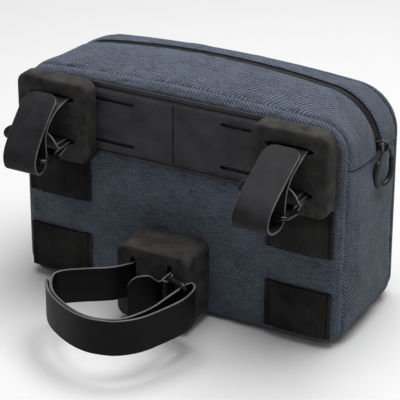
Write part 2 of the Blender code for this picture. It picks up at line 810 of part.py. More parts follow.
def build_tube_block(parts, cutters, foam, rubber, metal):
    """Make the deep block that meets the head tube, with what it carries."""
    face = FIT + TUBE_BLOCK_DEPTH
    size = (TUBE_BLOCK_WIDTH, TUBE_BLOCK_DEPTH, TUBE_BLOCK_HEIGHT)
    centre = (TUBE_BLOCK_X, -FIT - TUBE_BLOCK_DEPTH / 2, TUBE_BLOCK_Z)
    block = add_object("tube_block", block_mesh("tube_block", size, centre), parts, foam)
    slot_z = TUBE_BLOCK_Z + TUBE_BLOCK_SLOT_RISE
    for side_name, side in (("near_ring", 1), ("near_loop", -1)):
        place = (TUBE_BLOCK_X + side * TUBE_PITCH / 2, centre[1], slot_z)
        slot = (slot_height(), 2 * TUBE_BLOCK_DEPTH, SLOT_WIDTH)
        cut(block, f"tube_slot_{side_name}", slot, place, 1, slot_height() * 0.3, cutters)
    channel = (TUBE_PITCH, STRAP + 2 * FIT, STRAP_WIDTH + 2 * CHANNEL_PLAY)
    cut(block, "tube_channel", channel, (TUBE_BLOCK_X, -channel[1] / 2, slot_z), 1, 0.0, cutters)
    plane = BlockPlane(TUBE_BLOCK_X, slot_z, Vector((-1, 0, 0)), face, TUBE_PITCH, TUBE_LOOP)
    build_mount("tube", plane, (TUBE_STRAP, TUBE_TONGUE, TUBE_RING), parts, rubber, metal)


def build_patches(parts, webbing):
    """Make the four webbing patches, sewn at both ends and bowed between them."""
    half = PATCH_WIDTH / 2
    profile = [(-half, 0.0), (-half * 0.86, 0.0), (-half * 0.66, 0.8), (0.0, 1.0)]
    profile += [(-x, lift) for x, lift in reversed(profile[:-1])]
    for side_name, side in (("left", -1), ("right", 1)):
        for level_name, level in (("low", PATCH_LOW_Z), ("high", PATCH_HIGH_Z)):
            rows = []
            for edge in (-1, 1):
                z = level + edge * PATCH_HEIGHT / 2
                row = [Vector((side * PATCH_X + x, -FIT - PATCH_BOW * lift, z)) for x, lift in profile]
                rows.append(row)
            sheet(f"webbing_{level_name}_{side_name}", rows, PATCH_SHEET, 1.0, parts, webbing)


def centre_on_base(cutters):
    """Parent every piece and cutter to an empty that centres the bag's depth on Y = 0."""
    holder = bpy.data.objects.new("bag_origin", None)
    cutters.objects.link(holder)
    holder.location = (0, -BAG_DEPTH / 2, 0)
    for made in bpy.data.objects:
        if made is not holder:
            made.parent = holder


def main():
    """Build the bag in its own collection."""
    clear_scene()
    parts = new_collection("handlebar_bag")
    cutters = new_collection("cutters")
    cloth = finish("woven_cloth", CLOTH_COLOUR, 0.85)
    foam = finish("eva_foam", FOAM_COLOUR, 0.8)
    rubber = finish("strap_rubber", RUBBER_COLOUR, 0.5)
    band = finish("band_rubber", BAND_COLOUR, 0.55)
    webbing = finish("webbing", WEBBING_COLOUR, 0.8)
    metal = finish("black_metal", METAL_COLOUR, 0.35, 0.9)
    build_panels(parts, cloth)
    build_gussets(parts, cloth)
    build_zipper(parts, cutters, webbing, metal)
    build_band(parts, cutters, band)
    build_patches(parts, webbing)
    build_bar_block("left", LEFT_BLOCK_X, LEFT_STRAP, parts, cutters, foam, rubber, metal)
    build_bar_block("right", RIGHT_BLOCK_X, RIGHT_STRAP, parts, cutters, foam, rubber, metal)
    build_tube_block(parts, cutters, foam, rubber, metal)
    centre_on_base(cutters)


main()
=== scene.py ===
"""Looks of a zipped handlebar bag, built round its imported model.

The body is five cloth pieces with a zipper over the crown. The panel that faces the
handlebar carries a sewn band, four webbing patches and three foam blocks, and each
block carries a strap, a tab and a wire ring. Everything is in metres, +Z up, in the
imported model's own frame, where the bag stands on Z = 0 and -Y is the bar's side.
"""

import json
import logging
import math
from dataclasses import dataclass, field
from enum import Enum
from typing import Callable, NamedTuple, Sequence

import bmesh
import bpy
import numpy as np
from mathutils import Matrix, Vector

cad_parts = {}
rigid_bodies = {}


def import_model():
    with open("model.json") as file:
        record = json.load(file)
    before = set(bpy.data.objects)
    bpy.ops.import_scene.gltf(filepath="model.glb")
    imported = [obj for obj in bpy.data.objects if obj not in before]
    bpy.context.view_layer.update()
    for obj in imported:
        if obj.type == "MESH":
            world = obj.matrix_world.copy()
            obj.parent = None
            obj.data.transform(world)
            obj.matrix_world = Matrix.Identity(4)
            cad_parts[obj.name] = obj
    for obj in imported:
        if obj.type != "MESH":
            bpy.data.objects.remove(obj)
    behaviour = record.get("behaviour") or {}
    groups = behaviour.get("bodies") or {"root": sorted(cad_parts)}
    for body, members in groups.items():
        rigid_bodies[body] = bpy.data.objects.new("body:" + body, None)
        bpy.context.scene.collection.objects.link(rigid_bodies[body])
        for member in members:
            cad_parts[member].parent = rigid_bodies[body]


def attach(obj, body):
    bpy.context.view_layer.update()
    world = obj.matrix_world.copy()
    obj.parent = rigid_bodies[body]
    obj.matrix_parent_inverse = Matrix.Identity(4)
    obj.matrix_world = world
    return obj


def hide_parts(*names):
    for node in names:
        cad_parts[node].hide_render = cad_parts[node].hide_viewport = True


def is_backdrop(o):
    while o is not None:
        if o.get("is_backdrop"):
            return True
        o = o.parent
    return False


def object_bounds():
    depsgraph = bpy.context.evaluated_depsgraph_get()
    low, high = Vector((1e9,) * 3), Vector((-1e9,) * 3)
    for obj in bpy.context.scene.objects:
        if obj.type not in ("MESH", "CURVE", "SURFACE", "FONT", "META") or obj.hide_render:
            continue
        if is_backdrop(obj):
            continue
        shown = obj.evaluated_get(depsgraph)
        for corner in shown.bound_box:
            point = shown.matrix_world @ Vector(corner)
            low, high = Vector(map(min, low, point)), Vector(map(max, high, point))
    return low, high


MM = 0.001
LOG = logging.getLogger("handlebar_bag")
PANEL_Y = -47 * MM

# A noise's usual range, which the finishes stretch to the whole way from shade to light
NOISE_LOW = 0.3
NOISE_HIGH = 0.7

# The twill: how many yarns repeat, how high each set stands, and how a yarn's tone drifts
TWILL_REPEAT = 4.0
WARP_ROUND = 0.64
WEFT_BASE = 0.3
WEFT_ROUND = 0.8
YARN_STEP = 1.71
YARN_DRIFT = 0.09


class Level(Enum):
    """Which of the two rows of slots a slot belongs to."""

    LOW = -1
    HIGH = 1


class Side(Enum):
    """Which end of the bag a piece sits at."""

    LEFT = -1
    RIGHT = 1


class Facing(Enum):
    """Which way a panel of the body faces along Y."""

    BAR = -1
    OUTER = 1


class Slot(Enum):
    """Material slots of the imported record."""

    CLOTH = "cloth"
    FOAM = "foam"
    STRAP = "strap_rubber"
    BAND = "band_rubber"
    WEBBING = "webbing"
    ZIPPER = "zipper"
    METAL = "metal"
    PULL = "pull_rubber"


def clear_scene() -> None:
    """Remove what the file starts with."""
    for found in list(bpy.data.objects):
        bpy.data.objects.remove(found, do_unlink=True)


# Node trees


class TreeBuilder:
    """Adds and links nodes in one tree."""

    def __init__(self, tree: bpy.types.NodeTree) -> None:
        """Keep the tree.

        Args:
            tree: The tree that nodes are added to.
        """
        self.tree = tree
        self.source: Sequence[bpy.types.NodeSocket] = ()
        self.result: Sequence[bpy.types.NodeSocket] = ()

    def add(self, kind: str, inputs: dict | None = None, **settings: object) -> bpy.types.Node:
        """Add a node.

        Args:
            kind: The node's type name.
            inputs: Values or sockets by input name or index.
            settings: Properties of the node.

        Returns:
            The new node.
        """
        node = self.tree.nodes.new(kind)
        for name, value in settings.items():
            setattr(node, name, value)
        for name, value in (inputs or {}).items():
            self.feed(node.inputs[name], value)
        return node

    def feed(self, socket: bpy.types.NodeSocket, value: object) -> None:
        """Link a socket to another one, or give it a value.

        Args:
            socket: The input.
            value: An output socket, or a plain value.
        """
        if isinstance(value, bpy.types.NodeSocket):
            self.tree.links.new(value, socket)
        else:
            socket.default_value = value

    def math(self, operation: str, *values: object) -> bpy.types.NodeSocket:
        """Add a Math node.

        Args:
            operation: The operation's name.
            values: Numbers or output sockets.

        Returns:
            The node's result.
        """
        node = self.add("ShaderNodeMath", operation=operation)
        for socket, value in zip(node.inputs, values):
            self.feed(socket, value)
        return node.outputs[0]

    def mix(self, share: object, low: object, high: object) -> bpy.types.NodeSocket:
        """Mix two numbers.

        Args:
            share: How much of the second one, from 0 to 1.
            low: The first number.
            high: The second number.

        Returns:
            The mixed number.
        """
        node = self.add("ShaderNodeMix", data_type="FLOAT")
        for socket, value in zip(node.inputs[:1] + node.inputs[2:4], (share, low, high)):
            self.feed(socket, value)
        return node.outputs[0]

    def blend(self, share: object, low: object, high: object) -> bpy.types.NodeSocket:
        """Mix two colours.

        Args:
            share: How much of the second one, from 0 to 1.
            low: The first colour.
            high: The second colour.

        Returns:
            The mixed colour.
        """
        node = self.add("ShaderNodeMix", data_type="RGBA")
        for socket, value in zip((node.inputs[0], node.inputs[6], node.inputs[7]), (share, low, high)):
            self.feed(socket, value)
        return node.outputs[2]

    def noise(self, vector: object, scale: float, detail: float = 2.0) -> bpy.types.NodeSocket:
        """Add a noise.

        Args:
            vector: The coordinates.
            scale: How many cells a metre has.
            detail: How many octaves it adds.

        Returns:
            The noise's value.
        """
        node = self.add("ShaderNodeTexNoise", {"Vector": vector, "Scale": scale, "Detail": detail})
        return node.outputs[0]


def new_group(name: str, inputs: dict[str, tuple[str, object]], outputs: dict[str, str]) -> TreeBuilder:
    """Start a shader node group.

    Args:
        name: The group's name.
        inputs: Socket type and starting value by input name.
        outputs: Socket type by output name.

    Returns:
        A builder on the group's tree, with its input and output nodes in it.
    """
    tree = bpy.data.node_groups.new(name, "ShaderNodeTree")
    for label, (kind, value) in inputs.items():
        socket = tree.interface.new_socket(label, in_out="INPUT", socket_type=kind)
        if value is not None:
            socket.default_value = value
    for label, kind in outputs.items():
        tree.interface.new_socket(label, in_out="OUTPUT", socket_type=kind)
    builder = TreeBuilder(tree)
    builder.source = builder.add("NodeGroupInput").outputs
    builder.result = builder.add("NodeGroupOutput").inputs
    return builder


def twill_group() -> bpy.types.NodeTree:
    """Make the group for a two-over-two twill of mottled yarns.

    Returns:
        The group, which puts out the yarns' height and their tone.
    """
    made = new_group(
        "twill_weave",
        {"Vector": ("NodeSocketVector", None), "Yarn": ("NodeSocketFloat", 0.7 * MM)},
        {"Height": "NodeSocketFloat", "Tone": "NodeSocketFloat"},
    )
    parts = made.add("ShaderNodeSeparateXYZ", {0: made.source["Vector"]})
    warp = made.math("DIVIDE", parts.outputs[0], made.source["Yarn"])
    weft = made.math("DIVIDE", parts.outputs[1], made.source["Yarn"])
    warp_row = made.math("FLOOR", warp)
    weft_row = made.math("FLOOR", weft)
    phase = made.math("FLOORED_MODULO", made.math("ADD", warp_row, weft_row), TWILL_REPEAT)
    over = made.math("LESS_THAN", phase, TWILL_REPEAT / 2)
    warp_round = made.math("ABSOLUTE", made.math("SINE", made.math("MULTIPLY", warp, math.pi)))
    weft_round = made.math("ABSOLUTE", made.math("SINE", made.math("MULTIPLY", weft, math.pi)))
    raised = made.math("ADD", WEFT_BASE, made.math("MULTIPLY", weft_round, WEFT_ROUND))
    height = made.mix(over, made.math("MULTIPLY", warp_round, WARP_ROUND), raised)
    tones = []
    for row, run in ((warp_row, weft), (weft_row, warp)):
        spot = made.add(
            "ShaderNodeCombineXYZ",
            {0: made.math("MULTIPLY", row, YARN_STEP), 1: made.math("MULTIPLY", run, YARN_DRIFT)},
        )
        tones.append(made.noise(spot.outputs[0], 1.0, 3.0))
    made.feed(made.result["Height"], height)
    made.feed(made.result["Tone"], made.mix(over, tones[0], tones[1]))
    return made.tree


def grain_group() -> bpy.types.NodeTree:
    """Make the group for a fine grain over slow mottling, as on foam and coated sheet.

    Returns:
        The group, which puts out the grain's height and the mottling's tone.
    """
    made = new_group(
        "surface_grain",
        {
            "Vector": ("NodeSocketVector", None),
            "Grain": ("NodeSocketFloat", 0.8 * MM),
            "Patch": ("NodeSocketFloat", 20 * MM),
        },
        {"Height": "NodeSocketFloat", "Tone": "NodeSocketFloat"},
    )
    fine_scale = made.math("DIVIDE", 1.0, made.source["Grain"])
    slow_scale = made.math("DIVIDE", 1.0, made.source["Patch"])
    fine = made.noise(made.source["Vector"], fine_scale, 3.0)
    slow = made.noise(made.source["Vector"], slow_scale, 3.0)
    made.feed(made.result["Height"], fine)
    made.feed(made.result["Tone"], made.mix(0.35, slow, fine))
    return made.tree


class Groups:
    """The shared node groups, made when they are first asked for."""

    made: dict[str, bpy.types.NodeTree] = {}

    @classmethod
    def get(cls, make: Callable[[], bpy.types.NodeTree]) -> bpy.types.NodeTree:
        """Return a shared group, and make it the first time.

        Args:
            make: The function that makes the group.

        Returns:
            The group's tree.
        """
        if make.__name__ not in cls.made:
            cls.made[make.__name__] = make()
        return cls.made[make.__name__]


Colour = tuple[float, float, float]


def rgba(colour: Colour) -> tuple[float, float, float, float]:
    """Give a colour its alpha."""
    return (*colour, 1.0)


def new_material(name: str) -> tuple[bpy.types.Material, TreeBuilder, bpy.types.Node]:
    """Start a material.

    Args:
        name: The material's name.

    Returns:
        The material, a builder on its tree and its Principled shader.
    """
    material = bpy.data.materials.new(name)
    material.use_nodes = True
    builder = TreeBuilder(material.node_tree)
    return material, builder, material.node_tree.nodes["Principled BSDF"]


@dataclass(frozen=True)
class WovenFinish:
    """Heathered canvas, whose weave follows the piece's UV map in metres, with painted shade in the gaps
    between its yarns.
    """

    name: str
    # shade is the colour of the painted shade between the yarns and of the darkest yarns; light is the yarns'
    # colour on their tops
    shade: Colour
    light: Colour
    yarn: float = 0.66 * MM
    relief: float = 0.45 * MM
    roughness: float = 0.88
    specular: float = 0.2
    sheen: float = 0.08
    sheen_spread: float = 0.5
    bump: float = 0.8
    gap_shade_power: float = 1.5
    darkest_yarn: float = 0.22
    yarn_spread: float = 1.1
    fade_scale: float = 45.0
    fade_share: float = 0.35

    def build(self) -> bpy.types.Material:
        """Make the material."""
        material, tree, shader = new_material(self.name)
        where = tree.add("ShaderNodeUVMap", uv_map="UVMap")
        weave = tree.add("ShaderNodeGroup", node_tree=Groups.get(twill_group))
        tree.feed(weave.inputs["Vector"], where.outputs[0])
        tree.feed(weave.inputs["Yarn"], self.yarn)
        place = tree.add("ShaderNodeTexCoord").outputs["Object"]
        fade = tree.math("SUBTRACT", tree.noise(place, self.fade_scale, 3.0), 0.5)
        spread = tree.add(
            "ShaderNodeMapRange", {0: weave.outputs["Tone"], 1: NOISE_LOW, 2: NOISE_HIGH}
        ).outputs[0]
        heather = tree.math("ADD", self.darkest_yarn, tree.math("MULTIPLY", spread, self.yarn_spread))
        # The colour darkens with the weave's height, which is painted shade between the yarns, times each
        # yarn's own heathered tone
        tone = tree.math("MULTIPLY", tree.math("POWER", weave.outputs["Height"], self.gap_shade_power), heather)
        tone = tree.math("ADD", tone, tree.math("MULTIPLY", fade, self.fade_share))
        colour = tree.blend(tone, rgba(self.shade), rgba(self.light))
        tree.feed(shader.inputs["Base Color"], colour)
        bump = tree.add(
            "ShaderNodeBump",
            {"Strength": self.bump, "Distance": self.relief, "Height": weave.outputs["Height"]},
        )
        tree.feed(shader.inputs["Normal"], bump.outputs[0])
        shader.inputs["Roughness"].default_value = self.roughness
        shader.inputs["Specular IOR Level"].default_value = self.specular
        shader.inputs["Sheen Weight"].default_value = self.sheen
        shader.inputs["Sheen Roughness"].default_value = self.sheen_spread
        return material


@dataclass(frozen=True)
class GrainedFinish:
    """Foam, rubber or coated sheet with a fine grain and slow mottling."""

    name: str
    shade: Colour
    light: Colour
    grain: float = 0.8 * MM
    patch: float = 20 * MM
    relief: float = 0.1 * MM
    roughness: float = 0.7
    rough_spread: float = 0.15
    specular: float = 0.25
    bump: float = 0.6

    def build(self) -> bpy.types.Material:
        """Make the material."""
        material, tree, shader = new_material(self.name)
        place = tree.add("ShaderNodeTexCoord").outputs["Object"]
        grain = tree.add("ShaderNodeGroup", node_tree=Groups.get(grain_group))
        tree.feed(grain.inputs["Vector"], place)
        tree.feed(grain.inputs["Grain"], self.grain)
        tree.feed(grain.inputs["Patch"], self.patch)
        tone = tree.add(
            "ShaderNodeMapRange", {0: grain.outputs["Tone"], 1: NOISE_LOW, 2: NOISE_HIGH}
        ).outputs[0]
        tree.feed(shader.inputs["Base Color"], tree.blend(tone, rgba(self.shade), rgba(self.light)))
        low = self.roughness - self.rough_spread
        rough = tree.mix(grain.outputs["Tone"], low, self.roughness + self.rough_spread)
        tree.feed(shader.inputs["Roughness"], rough)
        bump = tree.add(
            "ShaderNodeBump",
            {"Strength": self.bump, "Distance": self.relief, "Height": grain.outputs["Height"]},
        )
        tree.feed(shader.inputs["Normal"], bump.outputs[0])
        shader.inputs["Specular IOR Level"].default_value = self.specular
        return material


@dataclass(frozen=True)
class MetalFinish:
    """Coated metal with slight wear."""

    name: str
    colour: Colour
    worn: Colour
    roughness: float = 0.3
    grain: float = 0.5 * MM
    patch: float = 4 * MM
    wear_start: float = 0.55
    wear_end: float = 0.75
    smoothest: float = 0.15
    rough_spread: float = 0.15
    metallic: float = 0.3

    def build(self) -> bpy.types.Material:
        """Make the material."""
        material, tree, shader = new_material(self.name)
        place = tree.add("ShaderNodeTexCoord").outputs["Object"]
        grain = tree.add("ShaderNodeGroup", node_tree=Groups.get(grain_group))
        tree.feed(grain.inputs["Vector"], place)
        tree.feed(grain.inputs["Grain"], self.grain)
        tree.feed(grain.inputs["Patch"], self.patch)
        wear = tree.add(
            "ShaderNodeMapRange", {0: grain.outputs["Tone"], 1: self.wear_start, 2: self.wear_end}
        ).outputs[0]
        tree.feed(shader.inputs["Base Color"], tree.blend(wear, rgba(self.colour), rgba(self.worn)))
        roughest = self.roughness + self.rough_spread
        tree.feed(shader.inputs["Roughness"], tree.mix(grain.outputs["Tone"], self.smoothest, roughest))
        shader.inputs["Metallic"].default_value = self.metallic
        return material


class Finishes:
    """Every finish of the bag, made once."""

    def __init__(self) -> None:
        """Make the materials."""
        # The canvas's first colour is the painted shade in the gaps of its weave
        self.cloth = WovenFinish("slate_canvas", (0.007, 0.009, 0.014), (0.148, 0.178, 0.240)).build()
        self.foam = GrainedFinish(
            "closed_cell_foam", (0.007, 0.007, 0.007), (0.054, 0.051, 0.049),
            grain=0.9 * MM, patch=9 * MM, relief=0.3 * MM, roughness=0.85, rough_spread=0.08, specular=0.15,
        ).build()
        self.strap = GrainedFinish(
            "strap_rubber", (0.004, 0.004, 0.005), (0.018, 0.018, 0.020),
            grain=0.5 * MM, patch=8 * MM, relief=0.06 * MM, roughness=0.62, rough_spread=0.12, specular=0.16,
        ).build()
        # A much darker copy of the strap rubber for the lowest strap: painted shade
        self.tube_strap_in_shade = GrainedFinish(
            "head_tube_strap_rubber_in_shade", (0.001, 0.001, 0.001), (0.003, 0.003, 0.003),
            grain=0.5 * MM, relief=0.04 * MM, roughness=0.5, rough_spread=0.08, specular=0.12,
        ).build()
        # A much lighter copy of the strap rubber for the straps' and tabs' edges and ends: a painted
        # highlight along them
        self.edge_highlight = GrainedFinish(
            "strap_edge_highlight", (0.045, 0.045, 0.047), (0.14, 0.14, 0.145),
            grain=0.6 * MM, relief=0.05 * MM, roughness=0.7,
        ).build()
        self.band = GrainedFinish(
            "coated_sheet", (0.013, 0.013, 0.016), (0.046, 0.045, 0.050),
            grain=0.6 * MM, patch=12 * MM, relief=0.05 * MM, roughness=0.65, rough_spread=0.1,
        ).build()
        self.webbing = GrainedFinish(
            "ribbed_webbing", (0.003, 0.003, 0.003), (0.050, 0.048, 0.046),
            grain=0.5 * MM, relief=0.1 * MM, roughness=0.85, specular=0.15,
        ).build()
        self.zipper = GrainedFinish(
            "coated_zipper", (0.002, 0.002, 0.003), (0.007, 0.007, 0.009),
            grain=0.5 * MM, relief=0.05 * MM, roughness=0.5,
        ).build()
        # The stitches' black finish, also laid under the webbing's ribs as painted shade in the valleys
        # between them
        self.thread_and_rib_gap_shade = GrainedFinish(
            "black_thread_and_rib_gap_shade", (0.0015, 0.0015, 0.0015), (0.004, 0.004, 0.004),
            grain=0.2 * MM, relief=0.05 * MM, roughness=0.9, specular=0.1,
        ).build()
        self.metal = MetalFinish("black_coated_wire", (0.006, 0.006, 0.007), (0.05, 0.05, 0.05)).build()
        self.pull = GrainedFinish(
            "moulded_pull", (0.005, 0.005, 0.006), (0.016, 0.016, 0.018),
            grain=0.4 * MM, relief=0.05 * MM, roughness=0.45, specular=0.4,
        ).build()


# Mesh helpers


def add_piece(
    name: str, data: bpy.types.Mesh, materials: Sequence[bpy.types.Material]
) -> bpy.types.Object:
    """Link a finished mesh as a piece of the bag.

    Args:
        name: The piece's name.
        data: Its mesh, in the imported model's frame.
        materials: Its finishes.

    Returns:
        The piece's object, which rides on the bag's one body.
    """
    data.name = name
    kinds = [face.material_index for face in data.polygons]
    data.materials.clear()
    for material in materials:
        data.materials.append(material)
    data.polygons.foreach_set("material_index", kinds)
    made = bpy.data.objects.new(name, data)
    bpy.context.scene.collection.objects.link(made)
    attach(made, "root")
    LOG.info("%s: %d faces", name, len(data.polygons))
    return made


def scratch_object(name: str, data: bpy.types.ID) -> bpy.types.Object:
    """Link an object that is removed again before the scene is finished."""
    made = bpy.data.objects.new(name, data)
    bpy.context.scene.collection.objects.link(made)
    return made


def baked(source: bpy.types.Object) -> bpy.types.Mesh:
    """Turn an object with its modifiers into a plain mesh and remove the object.

    Args:
        source: The object.

    Returns:
        The evaluated mesh.
    """
    bpy.context.view_layer.update()
    graph = bpy.context.evaluated_depsgraph_get()
    data = bpy.data.meshes.new_from_object(source.evaluated_get(graph))
    bpy.data.objects.remove(source, do_unlink=True)
    return data


def loft(
    name: str, rows: Sequence[Sequence[Vector]], maps: Sequence[Sequence[tuple[float, float]]]
) -> bpy.types.Mesh:
    """Make an open surface of quads through rows of points.

    Args:
        name: The mesh's name.
        rows: The points, the same number in each row.
        maps: A UV in metres for each point.

    Returns:
        The mesh, with its UV map.
    """
    bm = bmesh.new()
    uv_layer = bm.loops.layers.uv.new("UVMap")
    verts = [[bm.verts.new(point) for point in row] for row in rows]
    where = {vert: uv for vert_row, map_row in zip(verts, maps) for vert, uv in zip(vert_row, map_row)}
    for low, high in zip(verts, verts[1:]):
        for i in range(len(rows[0]) - 1):
            bm.faces.new((low[i], low[i + 1], high[i + 1], high[i]))
    for face in bm.faces:
        face.smooth = True
        for corner in face.loops:
            corner[uv_layer].uv = where[corner.vert]
    data = bpy.data.meshes.new(name)
    bm.to_mesh(data)
    bm.free()
    return data


def face_outwards(data: bpy.types.Mesh, centre: Vector) -> None:
    """Flip a surface if most of it faces a centre.

    Args:
        data: The mesh.
        centre: A point inside the body.
    """
    bm = bmesh.new()
    bm.from_mesh(data)
    bm.normal_update()
    lean = sum(face.normal.dot(face.calc_center_median() - centre) * face.calc_area() for face in bm.faces)
    if lean < 0:
        bmesh.ops.reverse_faces(bm, faces=bm.faces)
    bm.to_mesh(data)
    bm.free()


def thicken(data: bpy.types.Mesh, thickness: float, levels: int = 0) -> bpy.types.Mesh:
    """Give a surface a wall inwards, and subdivide it.

    Args:
        data: The open surface, facing out.
        thickness: The wall.
        levels: How often it is subdivided.

    Returns:
        The closed mesh.
    """
    made = scratch_object("wall", data)
    wall = made.modifiers.new("wall", "SOLIDIFY")
    wall.thickness = thickness
    wall.offset = -1.0
    if levels:
        soft = made.modifiers.new("soft", "SUBSURF")
        soft.levels = levels
        soft.render_levels = levels
    return baked(made)


def catmull(points: Sequence[Vector], step: float) -> list[Vector]:
    """Read points at about one step apart from a smooth curve through the given ones.

    Args:
        points: The points that the curve passes.
        step: The distance between the points read.

    Returns:
        The points read, ends included.
    """
    padded = [2 * points[0] - points[1], *points, 2 * points[-1] - points[-2]]
    path = []
    for a, b, c, d in zip(padded, padded[1:], padded[2:], padded[3:]):
        count = max(1, round((c - b).length / step))
        for i in range(count):
            t = i / count
            path.append(
                0.5 * (2 * b + (c - a) * t + (2 * a - 5 * b + 4 * c - d) * t * t
                       + (3 * b - a - 3 * c + d) * t * t * t)
            )
    path.append(points[-1].copy())
    return path


def wire(
    name: str, points: Sequence[Vector], radii: Sequence[float], closed: bool, sides: int = 12
) -> bpy.types.Mesh:
    """Make a round wire along points.

    Args:
        name: The mesh's name.
        points: Its centreline.
        radii: Its radius at each point.
        closed: Whether it is a closed loop.
        sides: How many faces go round it.

    Returns:
        The closed mesh.
    """
    count = len(points)
    rows = []
    normal = None
    for i, point in enumerate(points):
        before = points[i - 1] if closed or i > 0 else point
        after = points[(i + 1) % count] if closed or i < count - 1 else point
        along = (after - before).normalized()
        if normal is None:
            normal = along.orthogonal()
        normal = (normal - along * normal.dot(along)).normalized()
        side = along.cross(normal)
        turns = [2 * math.pi * k / sides for k in range(sides)]
        rows.append([point + radii[i] * (normal * math.cos(t) + side * math.sin(t)) for t in turns])
    bm = bmesh.new()
    verts = [[bm.verts.new(point) for point in row] for row in rows]
    spans = list(zip(verts, verts[1:]))
    for low, high in spans:
        for k in range(sides):
            bm.faces.new((low[k], low[(k + 1) % sides], high[(k + 1) % sides], high[k]))
    if closed:
        shift = min(range(sides), key=lambda s: (verts[0][s].co - verts[-1][0].co).length)
        for k in range(sides):
            low, high = verts[-1], verts[0]
            bm.faces.new(
                (low[k], low[(k + 1) % sides], high[(k + 1 + shift) % sides], high[(k + shift) % sides])
            )
    else:
        bm.faces.new(reversed(verts[0]))
        bm.faces.new(verts[-1])
    bmesh.ops.recalc_face_normals(bm, faces=bm.faces)
    for face in bm.faces:
        face.smooth = True
    data = bpy.data.meshes.new(name)
    bm.to_mesh(data)
    bm.free()
    return data


# Repeats, made by Geometry Nodes


class RepeatKind(Enum):
    """What a repeat tree sets along its line."""

    STITCH = "stitches"
    RIB = "ribs"


def repeat_tree(kind: RepeatKind) -> bpy.types.NodeTree:
    """Make the tree that sets stitches or ribs along a line.

    Args:
        kind: What is repeated.

    Returns:
        The tree, with its sizes and finish as named inputs.
    """
    tree = bpy.data.node_groups.new(kind.value, "GeometryNodeTree")
    sockets = (
        ("Geometry", "NodeSocketGeometry"),
        ("Pitch", "NodeSocketFloat"),
        ("Radius", "NodeSocketFloat"),
        ("Length", "NodeSocketFloat"),
        ("Finish", "NodeSocketMaterial"),
    )
    for label, socket_type in sockets:
        tree.interface.new_socket(label, in_out="INPUT", socket_type=socket_type)
    tree.interface.new_socket("Geometry", in_out="OUTPUT", socket_type="NodeSocketGeometry")
    made = TreeBuilder(tree)
    source = made.add("NodeGroupInput").outputs
    result = made.add("NodeGroupOutput").inputs
    line = made.add("GeometryNodeMeshToCurve", {"Mesh": source["Geometry"]})
    points = made.add(
        "GeometryNodeCurveToPoints", {"Curve": line.outputs[0], "Length": source["Pitch"]}, mode="LENGTH"
    )
    placed = {"Points": points.outputs["Points"]}
    if kind is RepeatKind.STITCH:
        shape = made.add(
            "GeometryNodeMeshUVSphere", {"Segments": 6, "Rings": 4, "Radius": source["Radius"]}
        ).outputs["Mesh"]
        stretch = made.math("DIVIDE", made.math("MULTIPLY", source["Length"], 0.5), source["Radius"])
        scale = made.add("ShaderNodeCombineXYZ", {0: 1.0, 1: 1.0, 2: stretch})
        placed["Rotation"] = points.outputs["Rotation"]
        placed["Scale"] = scale.outputs[0]
    else:
        shape = made.add(
            "GeometryNodeMeshCylinder", {"Vertices": 8, "Radius": source["Radius"], "Depth": source["Length"]}
        ).outputs["Mesh"]
    copies = made.add("GeometryNodeInstanceOnPoints", {**placed, "Instance": shape})
    real = made.add("GeometryNodeRealizeInstances", {0: copies.outputs[0]})
    smooth = made.add("GeometryNodeSetShadeSmooth", {"Geometry": real.outputs[0]})
    dressed = made.add(
        "GeometryNodeSetMaterial", {"Geometry": smooth.outputs[0], "Material": source["Finish"]}
    )
    made.feed(result["Geometry"], dressed.outputs[0])
    return tree


class Repeats:
    """Sets stitches and ribs along lines, with one tree for each kind."""

    def __init__(self) -> None:
        """Make the trees."""
        self.trees = {kind: repeat_tree(kind) for kind in RepeatKind}

    def run(
        self,
        kind: RepeatKind,
        lines: Sequence[Sequence[Vector]],
        pitch: float,
        radius: float,
        length: float,
        finish: bpy.types.Material,
    ) -> bpy.types.Mesh:
        """Repeat a shape along lines.

        Args:
            kind: What is repeated.
            lines: The points of each line.
            pitch: The distance from one to the next.
            radius: The radius of a stitch's yarn or of a rib.
            length: The length of one stitch or rib.
            finish: Its material.

        Returns:
            The mesh of all of them.
        """
        data = bpy.data.meshes.new(kind.value)
        verts = [tuple(point) for line in lines for point in line]
        edges = []
        start = 0
        for line in lines:
            edges += [(start + i, start + i + 1) for i in range(len(line) - 1)]
            start += len(line)
        data.from_pydata(verts, edges, [])
        made = scratch_object(kind.value, data)
        modifier = made.modifiers.new(kind.value, "NODES")
        modifier.node_group = self.trees[kind]
        values = {"Pitch": pitch, "Radius": radius, "Length": length, "Finish": finish}
        for item in self.trees[kind].interface.items_tree:
            if item.in_out == "INPUT" and item.name in values:
                modifier[item.identifier] = values[item.name]
        return baked(made)


# The body


class Section(NamedTuple):
    """A section of the gusset, as shares of the bag's sizes at a reach from the bar's side."""

    reach: float
    width: float
    crown: float
    arch: float
    corner: float
    rise: float


SECTIONS = (
    Section(reach=0.00, width=0.991, crown=0.962, arch=0.67, corner=0.50, rise=1.0),
    Section(reach=0.05, width=0.999, crown=0.971, arch=0.70, corner=0.58, rise=0.7),
    Section(reach=0.22, width=1.000, crown=0.989, arch=0.85, corner=0.82, rise=0.2),
    Section(reach=0.52, width=1.000, crown=1.000, arch=1.00, corner=1.00, rise=0.0),
    Section(reach=0.80, width=1.000, crown=0.981, arch=0.90, corner=0.95, rise=0.0),
    Section(reach=0.95, width=0.999, crown=0.956, arch=0.72, corner=0.85, rise=0.0),
    Section(reach=1.00, width=0.991, crown=0.944, arch=0.67, corner=0.78, rise=0.0),
)


